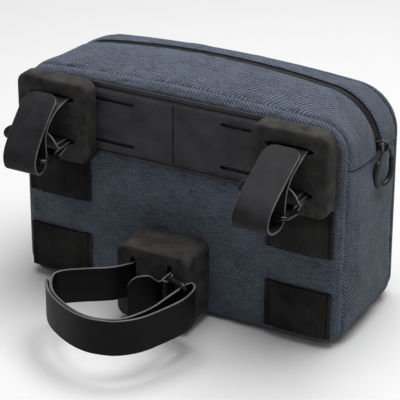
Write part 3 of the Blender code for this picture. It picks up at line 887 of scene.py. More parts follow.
@dataclass(frozen=True)
class BodyForm:
    """The body's shape: rings of the gusset at any reach, and the loops of its panels."""

    width: float = 242 * MM
    height: float = 169 * MM
    depth: float = 94 * MM
    top_depth: float = 90 * MM
    crown_corner: float = 40 * MM
    base_corner: float = 14 * MM
    crown_arch: float = 6 * MM
    roll: float = 6 * MM
    side_seam_drop: float = 2 * MM
    side_seam_rise: float = 7 * MM
    front_crown: float = 2.5 * MM
    base_steps: int = 26
    corner_steps: int = 10
    side_steps: int = 30
    shoulder_steps: int = 5
    crown_steps: int = 20
    top_steps: int = 30

    @property
    def seam_index(self) -> int:
        """Index of a ring's point on the right side seam."""
        return self.base_steps + self.corner_steps + self.side_steps

    @property
    def centre(self) -> Vector:
        """A point in the middle of the body."""
        return Vector((0, PANEL_Y + self.depth / 2, self.height / 2))

    def section(self, reach: float) -> Section:
        """Read the section at a reach from a smooth curve through the table.

        Args:
            reach: Share of the way from the bar's side to the other seam.

        Returns:
            The section there.
        """
        table = np.array(SECTIONS)
        knots = table[:, 0]
        slopes = np.gradient(table, knots, axis=0)
        i = int(np.clip(np.searchsorted(knots, reach) - 1, 0, len(knots) - 2))
        span = knots[i + 1] - knots[i]
        t = (reach - knots[i]) / span
        low, high = table[i], table[i + 1]
        value = (
            (2 * t**3 - 3 * t**2 + 1) * low + (t**3 - 2 * t**2 + t) * span * slopes[i]
            + (-2 * t**3 + 3 * t**2) * high + (t**3 - t**2) * span * slopes[i + 1]
        )
        return Section(*value)

    def front_seam_y(self, z: float) -> float:
        """Depth of the outer panel's seam, from the bar's side, at a height."""
        return self.depth - self.roll - (self.depth - self.top_depth) * z / self.height

    def outline(self, row: Section, inset: float = 0.0) -> list[tuple[float, float]]:
        """List a section's ring of (x, z), from the middle of the base and over +X.

        Args:
            row: The section.
            inset: How far inside the section the ring runs.

        Returns:
            The ring's points, the same number for every section.
        """
        half = self.width / 2 * row.width - inset
        base = self.width / 2 * (1 - row.width) + inset
        base_corner = self.base_corner - inset
        corner = self.crown_corner * row.corner - inset
        corner_x = half - corner
        arch = self.crown_arch * row.arch
        lift = math.pi / 2 - math.atan2(2 * arch, corner_x)
        top = self.height * row.crown - inset
        corner_z = top - arch - corner * math.sin(lift)
        seam_z = self.height - self.crown_arch - self.crown_corner - self.side_seam_drop
        seam_z += self.side_seam_rise * row.rise
        low_z = base + base_corner
        ring = [((half - base_corner) * i / self.base_steps, base) for i in range(self.base_steps)]
        for i in range(self.corner_steps):
            turn = -math.pi / 2 + math.pi / 2 * i / self.corner_steps
            ring.append(
                (half - base_corner + base_corner * math.cos(turn), low_z + base_corner * math.sin(turn))
            )
        ring += [(half, low_z + (seam_z - low_z) * i / self.side_steps) for i in range(self.side_steps)]
        ring += [
            (half, seam_z + (corner_z - seam_z) * i / self.shoulder_steps)
            for i in range(self.shoulder_steps)
        ]
        for i in range(self.crown_steps):
            turn = lift * i / self.crown_steps
            ring.append((corner_x + corner * math.cos(turn), corner_z + corner * math.sin(turn)))
        edge_x = corner_x + corner * math.cos(lift)
        for i in range(self.top_steps + 1):
            share = 1 - i / self.top_steps
            ring.append((edge_x * share, top - arch * share * share))
        return ring + [(-x, z) for x, z in reversed(ring[1:-1])]

    def ring(self, reach: float, inset: float = 0.0) -> list[Vector]:
        """Place the section at a reach in space."""
        return [
            Vector((x, PANEL_Y + self.roll + reach * (self.front_seam_y(z) - self.roll), z))
            for x, z in self.outline(self.section(reach), inset)
        ]

    def reach_of(self, width: float) -> float:
        """Turn a width along Y at the crown into a reach."""
        return width / (self.front_seam_y(self.height) - self.roll)

    def half_ring(self, reach: float, inset: float, upper: bool) -> list[Vector]:
        """Take the part of a ring above or below the side seams."""
        ring = self.ring(reach, inset)
        last = len(ring) - self.seam_index
        if upper:
            return ring[self.seam_index:last + 1]
        return ring[last:] + ring[:self.seam_index + 1]

    def panel_loops(self, facing: Facing) -> tuple[list[list[Vector]], list[list[tuple[float, float]]]]:
        """List the loops of a panel's rolled edge, from its turned-in seam to its flat face.

        Args:
            facing: Which panel.

        Returns:
            The loops, and for each of their points a UV in metres that unrolls the edge.
        """
        row = SECTIONS[0] if facing is Facing.BAR else SECTIONS[-1]
        steps = [(0.75, -0.12), (0.25, -0.10), (0.07, -0.02), (0.0, 0.12)]
        for i in range(1, 11):
            turn = math.pi / 2 * i / 10
            steps.append((1 - math.cos(turn), 0.12 + 0.88 * math.sin(turn)))
        loops = [self.panel_loop(row, facing, self.roll * inset, rise) for inset, rise in steps]
        inner = self.outline(row, self.roll)
        outer = self.outline(row)
        away = [0.0]
        for low, high in zip(reversed(loops[:-1]), reversed(loops[1:])):
            away.append(away[-1] + (high[0] - low[0]).length / self.roll)
        maps = []
        for share in reversed(away):
            maps.append([
                (a[0] + (b[0] - a[0]) * share, a[1] + (b[1] - a[1]) * share) for a, b in zip(inner, outer)
            ])
        return loops, maps

    def panel_place(self, edge: Sequence[Vector], facing: Facing, i: int, j: int) -> Vector:
        """Place a point of a panel's flat face, by its column and row in the face's grid.

        Args:
            edge: The loop round the flat face.
            facing: Which panel.
            i: The column.
            j: The row.

        Returns:
            The point, on a smooth patch between the edge's four sides.
        """
        u, v = i / self.grid_columns, j / self.grid_rows
        low, high = edge[self.edge_index(i, 0)], edge[self.edge_index(i, self.grid_rows)]
        left, right = edge[self.edge_index(0, j)], edge[self.edge_index(self.grid_columns, j)]
        corners = [
            edge[self.edge_index(column, row)]
            for row in (0, self.grid_rows) for column in (0, self.grid_columns)
        ]
        across = low * (1 - v) + high * v + left * (1 - u) + right * u
        flat = (corners[0] * (1 - u) + corners[1] * u) * (1 - v) + (corners[2] * (1 - u) + corners[3] * u) * v
        bulge = self.front_crown if facing is Facing.OUTER else 0.0
        return across - flat + Vector((0, 16 * bulge * u * (1 - u) * v * (1 - v), 0))

    @property
    def grid_corner(self) -> int:
        """Index of the edge's point at the flat face's lower right corner."""
        return self.base_steps + self.corner_steps

    @property
    def grid_columns(self) -> int:
        """How many columns of quads a flat face has."""
        return 2 * self.grid_corner

    @property
    def grid_rows(self) -> int:
        """How many rows of quads a flat face has."""
        return self.side_steps + self.shoulder_steps + self.crown_steps + self.top_steps - self.grid_corner

    def edge_index(self, i: int, j: int) -> int:
        """Index in the edge's loop of a grid point that lies on the edge.

        Args:
            i: The column.
            j: The row.

        Returns:
            The index.
        """
        count = 2 * (self.grid_columns + self.grid_rows)
        start = count - self.grid_corner
        if j == 0:
            return (start + i) % count
        if j == self.grid_rows:
            return start - self.grid_rows - i
        return start - j if i == 0 else self.grid_corner + j

    def panel_loop(self, row: Section, facing: Facing, inset: float, rise: float) -> list[Vector]:
        """Place one loop of a panel's rolled edge."""
        placed = []
        for x, z in self.outline(row, inset):
            if facing is Facing.BAR:
                y = PANEL_Y + self.roll * (1 - rise)
            else:
                y = PANEL_Y + self.front_seam_y(z) + self.roll * rise
            placed.append(Vector((x, y, z)))
        return placed


class Rect(NamedTuple):
    """A sewn-down rectangle on the panel, by its lowest and highest x and z."""

    low_x: float
    low_z: float
    high_x: float
    high_z: float

    def holds(self, x: float, z: float, margin: float) -> bool:
        """Whether a point lies in the rectangle grown by a margin."""
        return (
            self.low_x - margin < x < self.high_x + margin
            and self.low_z - margin < z < self.high_z + margin
        )


@dataclass
class ClothBody:
    """The five cloth pieces of the body, blown up a little between their seams."""

    form: BodyForm
    finishes: Finishes
    sewn: Sequence[Rect]
    zip_reach: float = 0.61
    zip_opening: float = 9 * MM
    wall: float = 0.7 * MM
    seam_depth: float = 4.1 * MM
    seam_reach: float = 2.1 * MM
    seam_turn: float = 5 * MM
    lip_depth: float = 0.5 * MM
    lip_reach: float = 1.2 * MM
    lip_rows: tuple[tuple[float, float], ...] = ((2.0, 2.2 * MM), (0.4, 2.0 * MM), (0.0, 1.0 * MM))
    edge_steps: tuple[float, ...] = (0.3, 0.7, 1.2, 1.9, 3.0, 4.4)
    side_turns: tuple[tuple[int, float], ...] = ((0, 1.4), (1, 0.5), (-1, 1.4), (-2, 0.5))
    gusset_step: float = 3.2 * MM
    held_loops: int = 8
    held_rows: int = 6
    held_ends: int = 3
    floor_reach: float = 1.5 * MM
    sewn_margin: float = 2 * MM
    quality: int = 5
    mass: float = 0.2
    stretch_stiffness: float = 20.0
    shear_stiffness: float = 10.0
    bending_stiffness: float = 2.0
    pressure: float = 4.0
    frames: int = 20
    slack: float = -0.012
    largest_move: float = 2.6 * MM

    def build(self) -> None:
        """Make the five pieces."""
        self.make_panel("rear_panel_cloth", "rear_panel", Facing.BAR)
        self.make_panel("front_panel_cloth", "front_panel", Facing.OUTER)
        lip = self.form.reach_of(self.zip_opening / 2)
        self.make_gusset("lower_gusset_cloth", "lower_gusset", False, 0.0, 1.0)
        self.make_gusset("upper_gusset_rear_cloth", "upper_gusset_rear", True, 0.0, self.zip_reach - lip)
        self.make_gusset("upper_gusset_front_cloth", "upper_gusset_front", True, self.zip_reach + lip, 1.0)

    def make_panel(self, name: str, node: str, facing: Facing) -> None:
        """Make one of the two flat pieces.

        Args:
            name: The piece's name.
            node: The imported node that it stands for.
            facing: Which way it faces.
        """
        data = self.panel_mesh(name, facing)
        held = self.held_loops * 2 * (self.form.grid_columns + self.form.grid_rows)

        def pinned(index: int, point: Vector) -> bool:
            """Whether a point is held by the seam or by what is sewn on it."""
            if index < held:
                return True
            return facing is Facing.BAR and any(
                rect.holds(point.x, point.z, self.sewn_margin) for rect in self.sewn
            )

        self.finish_piece(name, node, data, pinned)

    def panel_mesh(self, name: str, facing: Facing) -> bpy.types.Mesh:
        """Make a panel's surface: its rolled edge, and a grid of quads over its flat face.

        Args:
            name: The mesh's name.
            facing: Which panel.

        Returns:
            The open surface, with its UV map in metres.
        """
        form = self.form
        loops, maps = form.panel_loops(facing)
        bm = bmesh.new()
        uv_layer = bm.loops.layers.uv.new("UVMap")
        rings = [[bm.verts.new(point) for point in loop] for loop in loops]
        where = {vert: uv for ring, row in zip(rings, maps) for vert, uv in zip(ring, row)}
        count = len(loops[0])
        for low, high in zip(rings, rings[1:]):
            for i in range(count):
                k = (i + 1) % count
                bm.faces.new((low[i], low[k], high[k], high[i]))
        grid = []
        for j in range(form.grid_rows + 1):
            row = []
            for i in range(form.grid_columns + 1):
                if i in (0, form.grid_columns) or j in (0, form.grid_rows):
                    row.append(rings[-1][form.edge_index(i, j)])
                    continue
                place = form.panel_place(loops[-1], facing, i, j)
                row.append(bm.verts.new(place))
                where[row[-1]] = (place.x, place.z)
            grid.append(row)
        for low, high in zip(grid, grid[1:]):
            for i in range(form.grid_columns):
                bm.faces.new((low[i], low[i + 1], high[i + 1], high[i]))
        bmesh.ops.recalc_face_normals(bm, faces=bm.faces)
        for face in bm.faces:
            face.smooth = True
            for corner in face.loops:
                corner[uv_layer].uv = where[corner.vert]
        data = bpy.data.meshes.new(name)
        bm.to_mesh(data)
        bm.free()
        return data

    def make_gusset(self, name: str, node: str, upper: bool, start: float, end: float) -> None:
        """Make one of the gusset's pieces.

        Args:
            name: The piece's name.
            node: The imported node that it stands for.
            upper: Whether it lies above the side seams.
            start: Its reach on the bar's side.
            end: Its reach on the other side.
        """
        form = self.form
        steps = self.across(start, end)
        rows = [form.half_ring(reach, inset, upper) for reach, inset in steps]
        for row in rows:
            self.turn_in_ends(row)
        lengths = [0.0]
        for low, high in zip(rows[len(rows) // 2], rows[len(rows) // 2][1:]):
            lengths.append(lengths[-1] + (high - low).length)
        span = form.top_depth - 2 * form.roll
        maps = [[(length, reach * span) for length in lengths] for reach, _ in steps]
        data = loft(name, rows, maps)
        count = len(rows[0])

        def pinned(index: int, point: Vector) -> bool:
            """Whether a point is held by a seam or rests on the floor."""
            row, place = divmod(index, count)
            near_end = place < self.held_ends or place >= count - self.held_ends
            near_seam = row < self.held_rows or row >= len(rows) - self.held_rows
            return near_seam or near_end or point.z < self.floor_reach

        self.finish_piece(name, node, data, pinned)

    def across(self, start: float, end: float) -> list[tuple[float, float]]:
        """List a gusset piece's rows as reach and inset, turned in at both edges.

        Args:
            start: The first row's reach.
            end: The last row's reach.

        Returns:
            The rows.
        """
        edge = self.form.reach_of(1.0 * MM)
        near = [step * edge for step in self.edge_steps]
        lip = [(step * edge, inset) for step, inset in self.lip_rows]
        first, last = start + near[-1], end - near[-1]
        count = max(3, round((last - first) / self.form.reach_of(self.gusset_step)))
        reaches = [start + step for step in near]
        reaches += [first + (last - first) * i / count for i in range(1, count)]
        reaches += [end - step for step in reversed(near)]
        rows = [(reach, self.dip(reach, start, end)) for reach in reaches]
        if start == 0.0:
            rows = [(0.0, self.seam_turn), (0.0, self.seam_depth)] + rows
        else:
            rows = [(start + step, inset) for step, inset in lip] + rows
        if end == 1.0:
            rows += [(1.0, self.seam_depth), (1.0, self.seam_turn)]
        else:
            rows += [(end - step, inset) for step, inset in reversed(lip)]
        return rows

    def dip(self, reach: float, start: float, end: float) -> float:
        """How far the cloth dips towards its seams at a reach."""
        form = self.form
        inset = 0.0
        for seam, sewn in ((start, start == 0.0), (end, end == 1.0)):
            away = abs(reach - seam) / form.reach_of(self.seam_reach if sewn else self.lip_reach)
            inset += (self.seam_depth if sewn else self.lip_depth) * math.exp(-away * away)
        return inset

    def turn_in_ends(self, row: list[Vector]) -> None:
        """Draw a row's two ends in, where the side seams run."""
        for place, depth in self.side_turns:
            point = row[place]
            row[place] = point + Vector((-math.copysign(depth * MM, point.x), 0, 0))

    def finish_piece(
        self, name: str, node: str, data: bpy.types.Mesh, pinned: Callable[[int, Vector], bool]
    ) -> None:
        """Blow a piece up, give it its wall and dress it.

        Args:
            name: The piece's name.
            node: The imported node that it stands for.
            data: Its surface.
            pinned: Whether a point, by its index and place, is held.
        """
        face_outwards(data, self.form.centre)
        self.blow_up(data, pinned)
        body = thicken(data, self.wall, levels=1)
        piece = add_piece(name, body, [self.finishes.cloth])
        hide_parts(node)

    def blow_up(self, data: bpy.types.Mesh, pinned: Callable[[int, Vector], bool]) -> None:
        """Simulate a surface as cloth under pressure and keep its capped shape.

        Args:
            data: The surface, which is changed.
            pinned: Whether a point, by its index and place, is held.
        """
        rest = np.array([vert.co for vert in data.vertices])
        held = [i for i, vert in enumerate(data.vertices) if pinned(i, vert.co)]
        made = scratch_object("cloth", data)
        group = made.vertex_groups.new(name="held")
        group.add(held, 1.0, "REPLACE")
        cloth = made.modifiers.new("cloth", "CLOTH")
        settings = cloth.settings
        settings.quality = self.quality
        settings.mass = self.mass
        settings.tension_stiffness = self.stretch_stiffness
        settings.compression_stiffness = self.stretch_stiffness
        settings.shear_stiffness = self.shear_stiffness
        settings.bending_stiffness = self.bending_stiffness
        settings.shrink_min = self.slack
        settings.vertex_group_mass = "held"
        settings.use_pressure = True
        settings.uniform_pressure_force = self.pressure
        settings.effector_weights.gravity = 0
        cloth.collision_settings.use_collision = False
        cloth.point_cache.frame_start = 1
        cloth.point_cache.frame_end = self.frames
        for frame_number in range(1, self.frames + 1):
            bpy.context.scene.frame_set(frame_number)
        graph = bpy.context.evaluated_depsgraph_get()
        moved = np.array([vert.co for vert in made.evaluated_get(graph).data.vertices]) - rest
        bpy.context.scene.frame_set(1)
        size = np.linalg.norm(moved, axis=1, keepdims=True)
        moved *= np.minimum(1.0, self.largest_move / np.maximum(size, 1e-9))
        place = rest + np.nan_to_num(moved)
        place[:, 2] = np.maximum(place[:, 2], np.minimum(rest[:, 2], 0.0))
        LOG.info("cloth: held %d of %d, largest move %.1f mm", len(held), len(rest), 1000 * size.max())
        bpy.data.objects.remove(made, do_unlink=True)
        data.vertices.foreach_set("co", place.astype(np.float32).ravel())
        data.update()


# One half of the zipper's strip: mm off its middle, and mm below the crown
STRIP_PROFILE = (
    (-11.0, 2.6), (-5.6, 2.5), (-4.4, 1.6), (-3.2, 1.2), (-0.6, 1.1), (-0.2, 1.35), (0.0, 1.9),
)


@dataclass
class Zipper:
    """The strip between the lips, the slider, its bail and the pull that hangs from it."""

    form: BodyForm
    finishes: Finishes
    reach: float = 0.61
    park: float = math.radians(6)
    sink: float = 1.1 * MM
    gap: float = 0.3 * MM
    strip_wall: float = 0.5 * MM
    strip_pitch: float = 3 * MM
    slider_width: float = 7.5 * MM
    slider_length: float = 9.5 * MM
    slider_height: float = 2.6 * MM
    slider_edge: float = 0.25 * MM
    bail_wire: float = 0.8 * MM
    bail_length: float = 7 * MM
    bail_height: float = 4.4 * MM
    bail_steps: int = 24
    pull_length: float = 26 * MM
    pull_width: float = 15.5 * MM
    pull_cord: float = 1.1 * MM
    pull_sleeve: float = 2.1 * MM
    pull_turn: float = math.radians(72)
    pull_stand: float = 2 * MM
    pull_swing: float = 4 * MM
    pull_spread: float = 0.1
    sleeve_start: float = 0.32
    pull_steps: int = 96

    def build(self) -> None:
        """Make the strip, the slider and the pull."""
        self.make_strip()
        seat, along, out = self.seat()
        self.make_slider(seat, along, out)
        self.make_pull(seat, out)

    def make_strip(self) -> None:
        """Make the coated strip, with the groove where its halves meet."""
        profile = list(STRIP_PROFILE)
        profile += [(-across, inset) for across, inset in reversed(STRIP_PROFILE[:-1])]
        rows = []
        maps = []
        for across, inset in profile:
            reach = self.reach + self.form.reach_of(across * MM)
            row = self.form.half_ring(reach, inset * MM, True)
            rows.append(row)
            maps.append([(i * self.strip_pitch, across * MM) for i in range(len(row))])
        data = loft("strip", rows, maps)
        face_outwards(data, self.form.centre)
        body = thicken(data, self.strip_wall, levels=1)
        piece = add_piece("zipper_strip", body, [self.finishes.zipper])
        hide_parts("zipper_tape", "zipper_coil")

    def seat(self) -> tuple[Vector, Vector, Vector]:
        """Find the slider's seat on the strip, its way along it and its way out."""
        row = self.form.section(self.reach)
        corner = self.form.crown_corner * row.corner - self.sink
        corner_x = self.form.width / 2 * row.width - self.sink - corner
        arch = self.form.crown_arch * row.arch
        lift = math.pi / 2 - math.atan2(2 * arch, corner_x)
        corner_z = self.form.height * row.crown - self.sink - arch - corner * math.sin(lift)
        x = corner_x + corner * math.cos(self.park)
        z = corner_z + corner * math.sin(self.park)
        y = PANEL_Y + self.form.roll + self.reach * (self.form.front_seam_y(z) - self.form.roll)
        along = Vector((-math.sin(self.park), 0, math.cos(self.park)))
        out = Vector((math.cos(self.park), 0, math.sin(self.park)))
        return Vector((x, y, z)), along, out

    def make_slider(self, seat: Vector, along: Vector, out: Vector) -> None:
        """Make the slider's two plates and its bail.

        Args:
            seat: The middle of its underside.
            along: Its way along the zipper.
            out: Its way off the zipper.
        """
        half = self.slider_width / 2
        end = self.slider_length / 2
        outline = [
            (-0.55 * half, -end), (0.55 * half, -end), (0.75 * half, -0.5 * end), (half, 0.1 * end),
            (0.95 * half, 0.8 * end), (0.55 * half, end), (-0.55 * half, end), (-0.95 * half, 0.8 * end),
            (-half, 0.1 * end), (-0.75 * half, -0.5 * end),
        ]
        bm = bmesh.new()
        depth = Vector((0, 1, 0))
        lower_plate, core = (0.0, 0.9, 0.95), (0.9, 1.8, 0.35)
        upper_plate = (1.75, self.slider_height / MM, 1.0)
        for low, high, shrink in (lower_plate, core, upper_plate):
            rings = []
            for level in (low, high):
                middle = seat + out * (self.gap + level * MM)
                rings.append([
                    bm.verts.new(middle + depth * a * shrink + along * b * shrink) for a, b in outline
                ])
            bm.faces.new(reversed(rings[0]))
            bm.faces.new(rings[1])
            for i in range(len(outline)):
                k = (i + 1) % len(outline)
                bm.faces.new((rings[0][i], rings[0][k], rings[1][k], rings[1][i]))
        bmesh.ops.recalc_face_normals(bm, faces=bm.faces)
        bmesh.ops.bevel(
            bm, geom=list(bm.edges), offset=self.slider_edge, segments=2, profile=0.5, affect="EDGES"
        )
        for face in bm.faces:
            face.smooth = True
        data = bpy.data.meshes.new("slider")
        bm.to_mesh(data)
        bm.free()
        slider = add_piece("zip_slider_body", data, [self.finishes.metal])
        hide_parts("zip_slider")
        foot = seat + out * (self.gap + self.slider_height * 0.6)
        rise = self.bail_height + self.slider_height * 0.4
        reach = self.bail_length / 2
        path = []
        for i in range(self.bail_steps + 1):
            turn = math.pi * i / self.bail_steps
            path.append(foot + along * (reach * math.cos(turn)) + out * (rise * math.sin(turn)))
        data = wire("bail", path, [self.bail_wire] * len(path), closed=False)
        add_piece("zip_slider_bail", data, [self.finishes.metal])

    def make_pull(self, seat: Vector, out: Vector) -> None:
        """Make the cord loop with its moulded sleeve.

        Args:
            seat: The middle of the slider's underside.
            out: The way off the zipper.
        """
        across = Vector((math.cos(self.pull_turn), math.sin(self.pull_turn), 0))
        hang = seat + out * (self.gap + self.slider_height + self.gap + self.pull_cord)
        points = []
        radii = []
        for i in range(self.pull_steps):
            turn = 2 * math.pi * i / self.pull_steps
            drop = (1 - math.cos(turn)) / 2
            swell = math.sin(turn) * (0.68 + 0.57 * drop)
            stand = self.pull_stand * min(1.0, drop / self.pull_spread)
            place = hang + across * (self.pull_width / 2 * swell)
            points.append(place + Vector((stand, -self.pull_swing * drop, -self.pull_length * drop)))
            sleeve = min(1.0, max(0.0, (drop - self.sleeve_start) / (0.4 * self.pull_spread)))
            radii.append(self.pull_cord + (self.pull_sleeve - self.pull_cord) * sleeve)
        data = wire("pull", points, radii, closed=True, sides=14)
        piece = add_piece("zip_pull_loop", data, [self.finishes.pull])
        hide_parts("zip_pull")


# What the panel carries


@dataclass
class Band:
    """The band sewn across the panel, with its slots, hems and stitches."""

    finishes: Finishes
    repeats: Repeats
    x: float = 2 * MM
    z: float = 130.5 * MM
    width: float = 218 * MM
    height: float = 52 * MM
    sheet: float = 1.4 * MM
    hem: float = 5 * MM
    lift: float = 1.8 * MM
    gap: float = 0.3 * MM
    slot_start: float = 32 * MM
    slot_end: float = 104 * MM
    slot_pitch: float = 30 * MM
    slot_height: float = 2.4 * MM
    slot_margin: float = 2.6 * MM
    slot_ease: float = 1.6 * MM
    slit: float = 0.12 * MM
    column_count: int = 56
    edge: float = 0.3 * MM
    sag: float = 0.25 * MM
    sag_turns: float = 61.0
    sag_start: float = 1.3
    seam_x: float = -1.0 * MM
    stitch: float = 2.4 * MM
    stitch_thread: float = 0.42 * MM
    tail: float = 6.5 * MM
    tail_shortest: float = 0.8 * MM
    tail_press: float = 0.8
    roll: float = 6 * MM
    roll_x: float = 113.9 * MM
    corner: float = 20 * MM
    corner_x: float = 97.4 * MM
    corner_z: float = 138.9 * MM

    @property
    def rect(self) -> Rect:
        """The rectangle that the band covers."""
        half_x, half_z = self.width / 2, self.height / 2
        return Rect(self.x - half_x, self.z - half_z, self.x + half_x, self.z + half_z)

    def build(self) -> None:
        """Make the band and its stitches."""
        self.make_sheet()
        self.make_stitches()

    def front(self) -> float:
        """Y of the raised middle's outer face."""
        return PANEL_Y - self.gap - self.lift - self.sheet

    def columns(self) -> list[float]:
        """List where the sheet's columns run, close together at the ends of the slots."""
        half = self.width / 2
        marks = {-half, -half + 1 * MM, half, half - 1 * MM, 0.0}
        for side in (-1, 1):
            for step in (-2.0, -0.8, 0.0, 0.25, 0.8, 1.6, 3.0):
                marks.add(side * (self.slot_start + step * MM))
                marks.add(side * (self.slot_end - step * MM))
        for i in range(1, self.column_count):
            x = -half + self.width * i / self.column_count
            if all(abs(x - mark) > self.slot_ease for mark in marks):
                marks.add(x)
        return sorted(marks | {half + self.tail * k / 3 for k in (1, 2, 3)})

    def bent(self, x: float, z: float) -> Vector:
        """Bend the band's right end over the panel's rolled edge.

        Args:
            x: Where the point lies from the band's middle.
            z: The point's height.

        Returns:
            The point's x, how far it lies back, and the share of the sheet's lift that is left.
        """
        half = self.width / 2
        share = max(0.0, x - half) / self.tail
        climb = max(0.0, z - self.corner_z)
        edge = self.corner_x + math.sqrt(max(0.0, self.corner**2 - climb**2))
        tail = min(self.tail, max(self.tail_shortest, edge - self.x - half))
        place = self.x + min(x, half) + share * tail
        over = max(0.0, place - self.roll_x)
        back = self.roll - math.sqrt(self.roll**2 - over**2)
        return Vector((place, back, 1 - self.tail_press * share))

    def opening(self, x: float) -> float:
        """Half height of a slot at a column, and nearly none outside the slots."""
        inside = min(abs(x) - self.slot_start, self.slot_end - abs(x))
        if inside <= 0:
            return self.slit
        ease = min(1.0, inside / self.slot_ease)
        return max(self.slit, self.slot_height / 2 * math.sqrt(ease * (2 - ease)))

    def make_sheet(self) -> None:
        """Make the sheet as a grid whose slots are left out, and give it its wall."""
        half = self.height / 2
        inner = -half + self.hem
        steps = [(-half, 0.0), (-half + self.hem * 0.5, 0.0), (inner - 0.8 * MM, 0.0)]
        steps += [(inner, 0.3), (inner + 1.2 * MM, 0.85), (inner + 2.4 * MM, 1.0)]
        mid = self.slot_pitch / 2
        bm = bmesh.new()
        columns = self.columns()
        rows: list[list[Vector]] = []

        def add_row(offset: float, lift: float, edge: float = 0.0) -> None:
            """Add one row of the grid; edge says which lip of a slot it is."""
            row = []
            for x in columns:
                z = self.z + offset + edge * self.opening(x)
                place, back, left = self.bent(x, z)
                sag = self.sag * math.sin(x * self.sag_turns + self.sag_start)
                y = PANEL_Y - self.gap + back + (sag - self.lift) * lift * left
                row.append(Vector((place, y, z)))
            rows.append(row)

        for offset, lift in steps:
            add_row(offset, lift)
        for level in Level:
            slot = level.value * mid
            add_row(slot - self.slot_margin, 1.0)
            add_row(slot, 1.0, -1)
            add_row(slot, 1.0, 1)
            add_row(slot + self.slot_margin, 1.0)
            if level is Level.LOW:
                add_row(-mid / 3, 1.0)
                add_row(mid / 3, 1.0)
        for offset, lift in reversed(steps):
            add_row(-offset, lift)
        slot_rows = {len(steps) + 1, len(steps) + 7}
        verts = [[bm.verts.new(point) for point in row] for row in rows]
        for r, (low, high) in enumerate(zip(verts, verts[1:])):
            for i in range(len(columns) - 1):
                middle = abs(columns[i] + columns[i + 1]) / 2
                if r in slot_rows and self.slot_start < middle < self.slot_end:
                    continue
                bm.faces.new((low[i], low[i + 1], high[i + 1], high[i]))
        data = bpy.data.meshes.new("band")
        bm.to_mesh(data)
        bm.free()
        face_outwards(data, Vector((0, 0, self.z)))
        made = scratch_object("band", data)
        wall = made.modifiers.new("wall", "SOLIDIFY")
        wall.thickness = self.sheet
        wall.offset = 1.0
        round_off = made.modifiers.new("edges", "BEVEL")
        round_off.width = self.edge
        round_off.segments = 2
        round_off.limit_method = "ANGLE"
        round_off.angle_limit = math.radians(50)
        data = baked(made)
        data.shade_smooth()
        data.set_sharp_from_angle(angle=math.radians(35))
        piece = add_piece("band_sheet", data, [self.finishes.band])
        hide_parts("mount_band")

    def make_stitches(self) -> None:
        """Sew the band's middle and both hems."""
        half = self.height / 2
        front = self.front()
        hem_y = PANEL_Y - self.gap - self.sheet
        heights = np.linspace(half - 6.5 * MM, -half + 6 * MM, 12)
        lines = [[Vector((self.seam_x, front - 0.05 * MM, self.z + height)) for height in heights]]
        reach = self.width / 2 - 3 * MM
        places = np.linspace(self.x - reach, self.x + reach, 40)
        for level in Level:
            z = self.z + level.value * (half - self.hem * 0.62)
            lines.append([Vector((x, hem_y - 0.02 * MM, z)) for x in places])
        data = self.repeats.run(
            RepeatKind.STITCH, lines, self.stitch, self.stitch_thread, self.stitch * 0.85,
            self.finishes.thread_and_rib_gap_shade,
        )
        add_piece("band_stitches", data, [self.finishes.thread_and_rib_gap_shade])


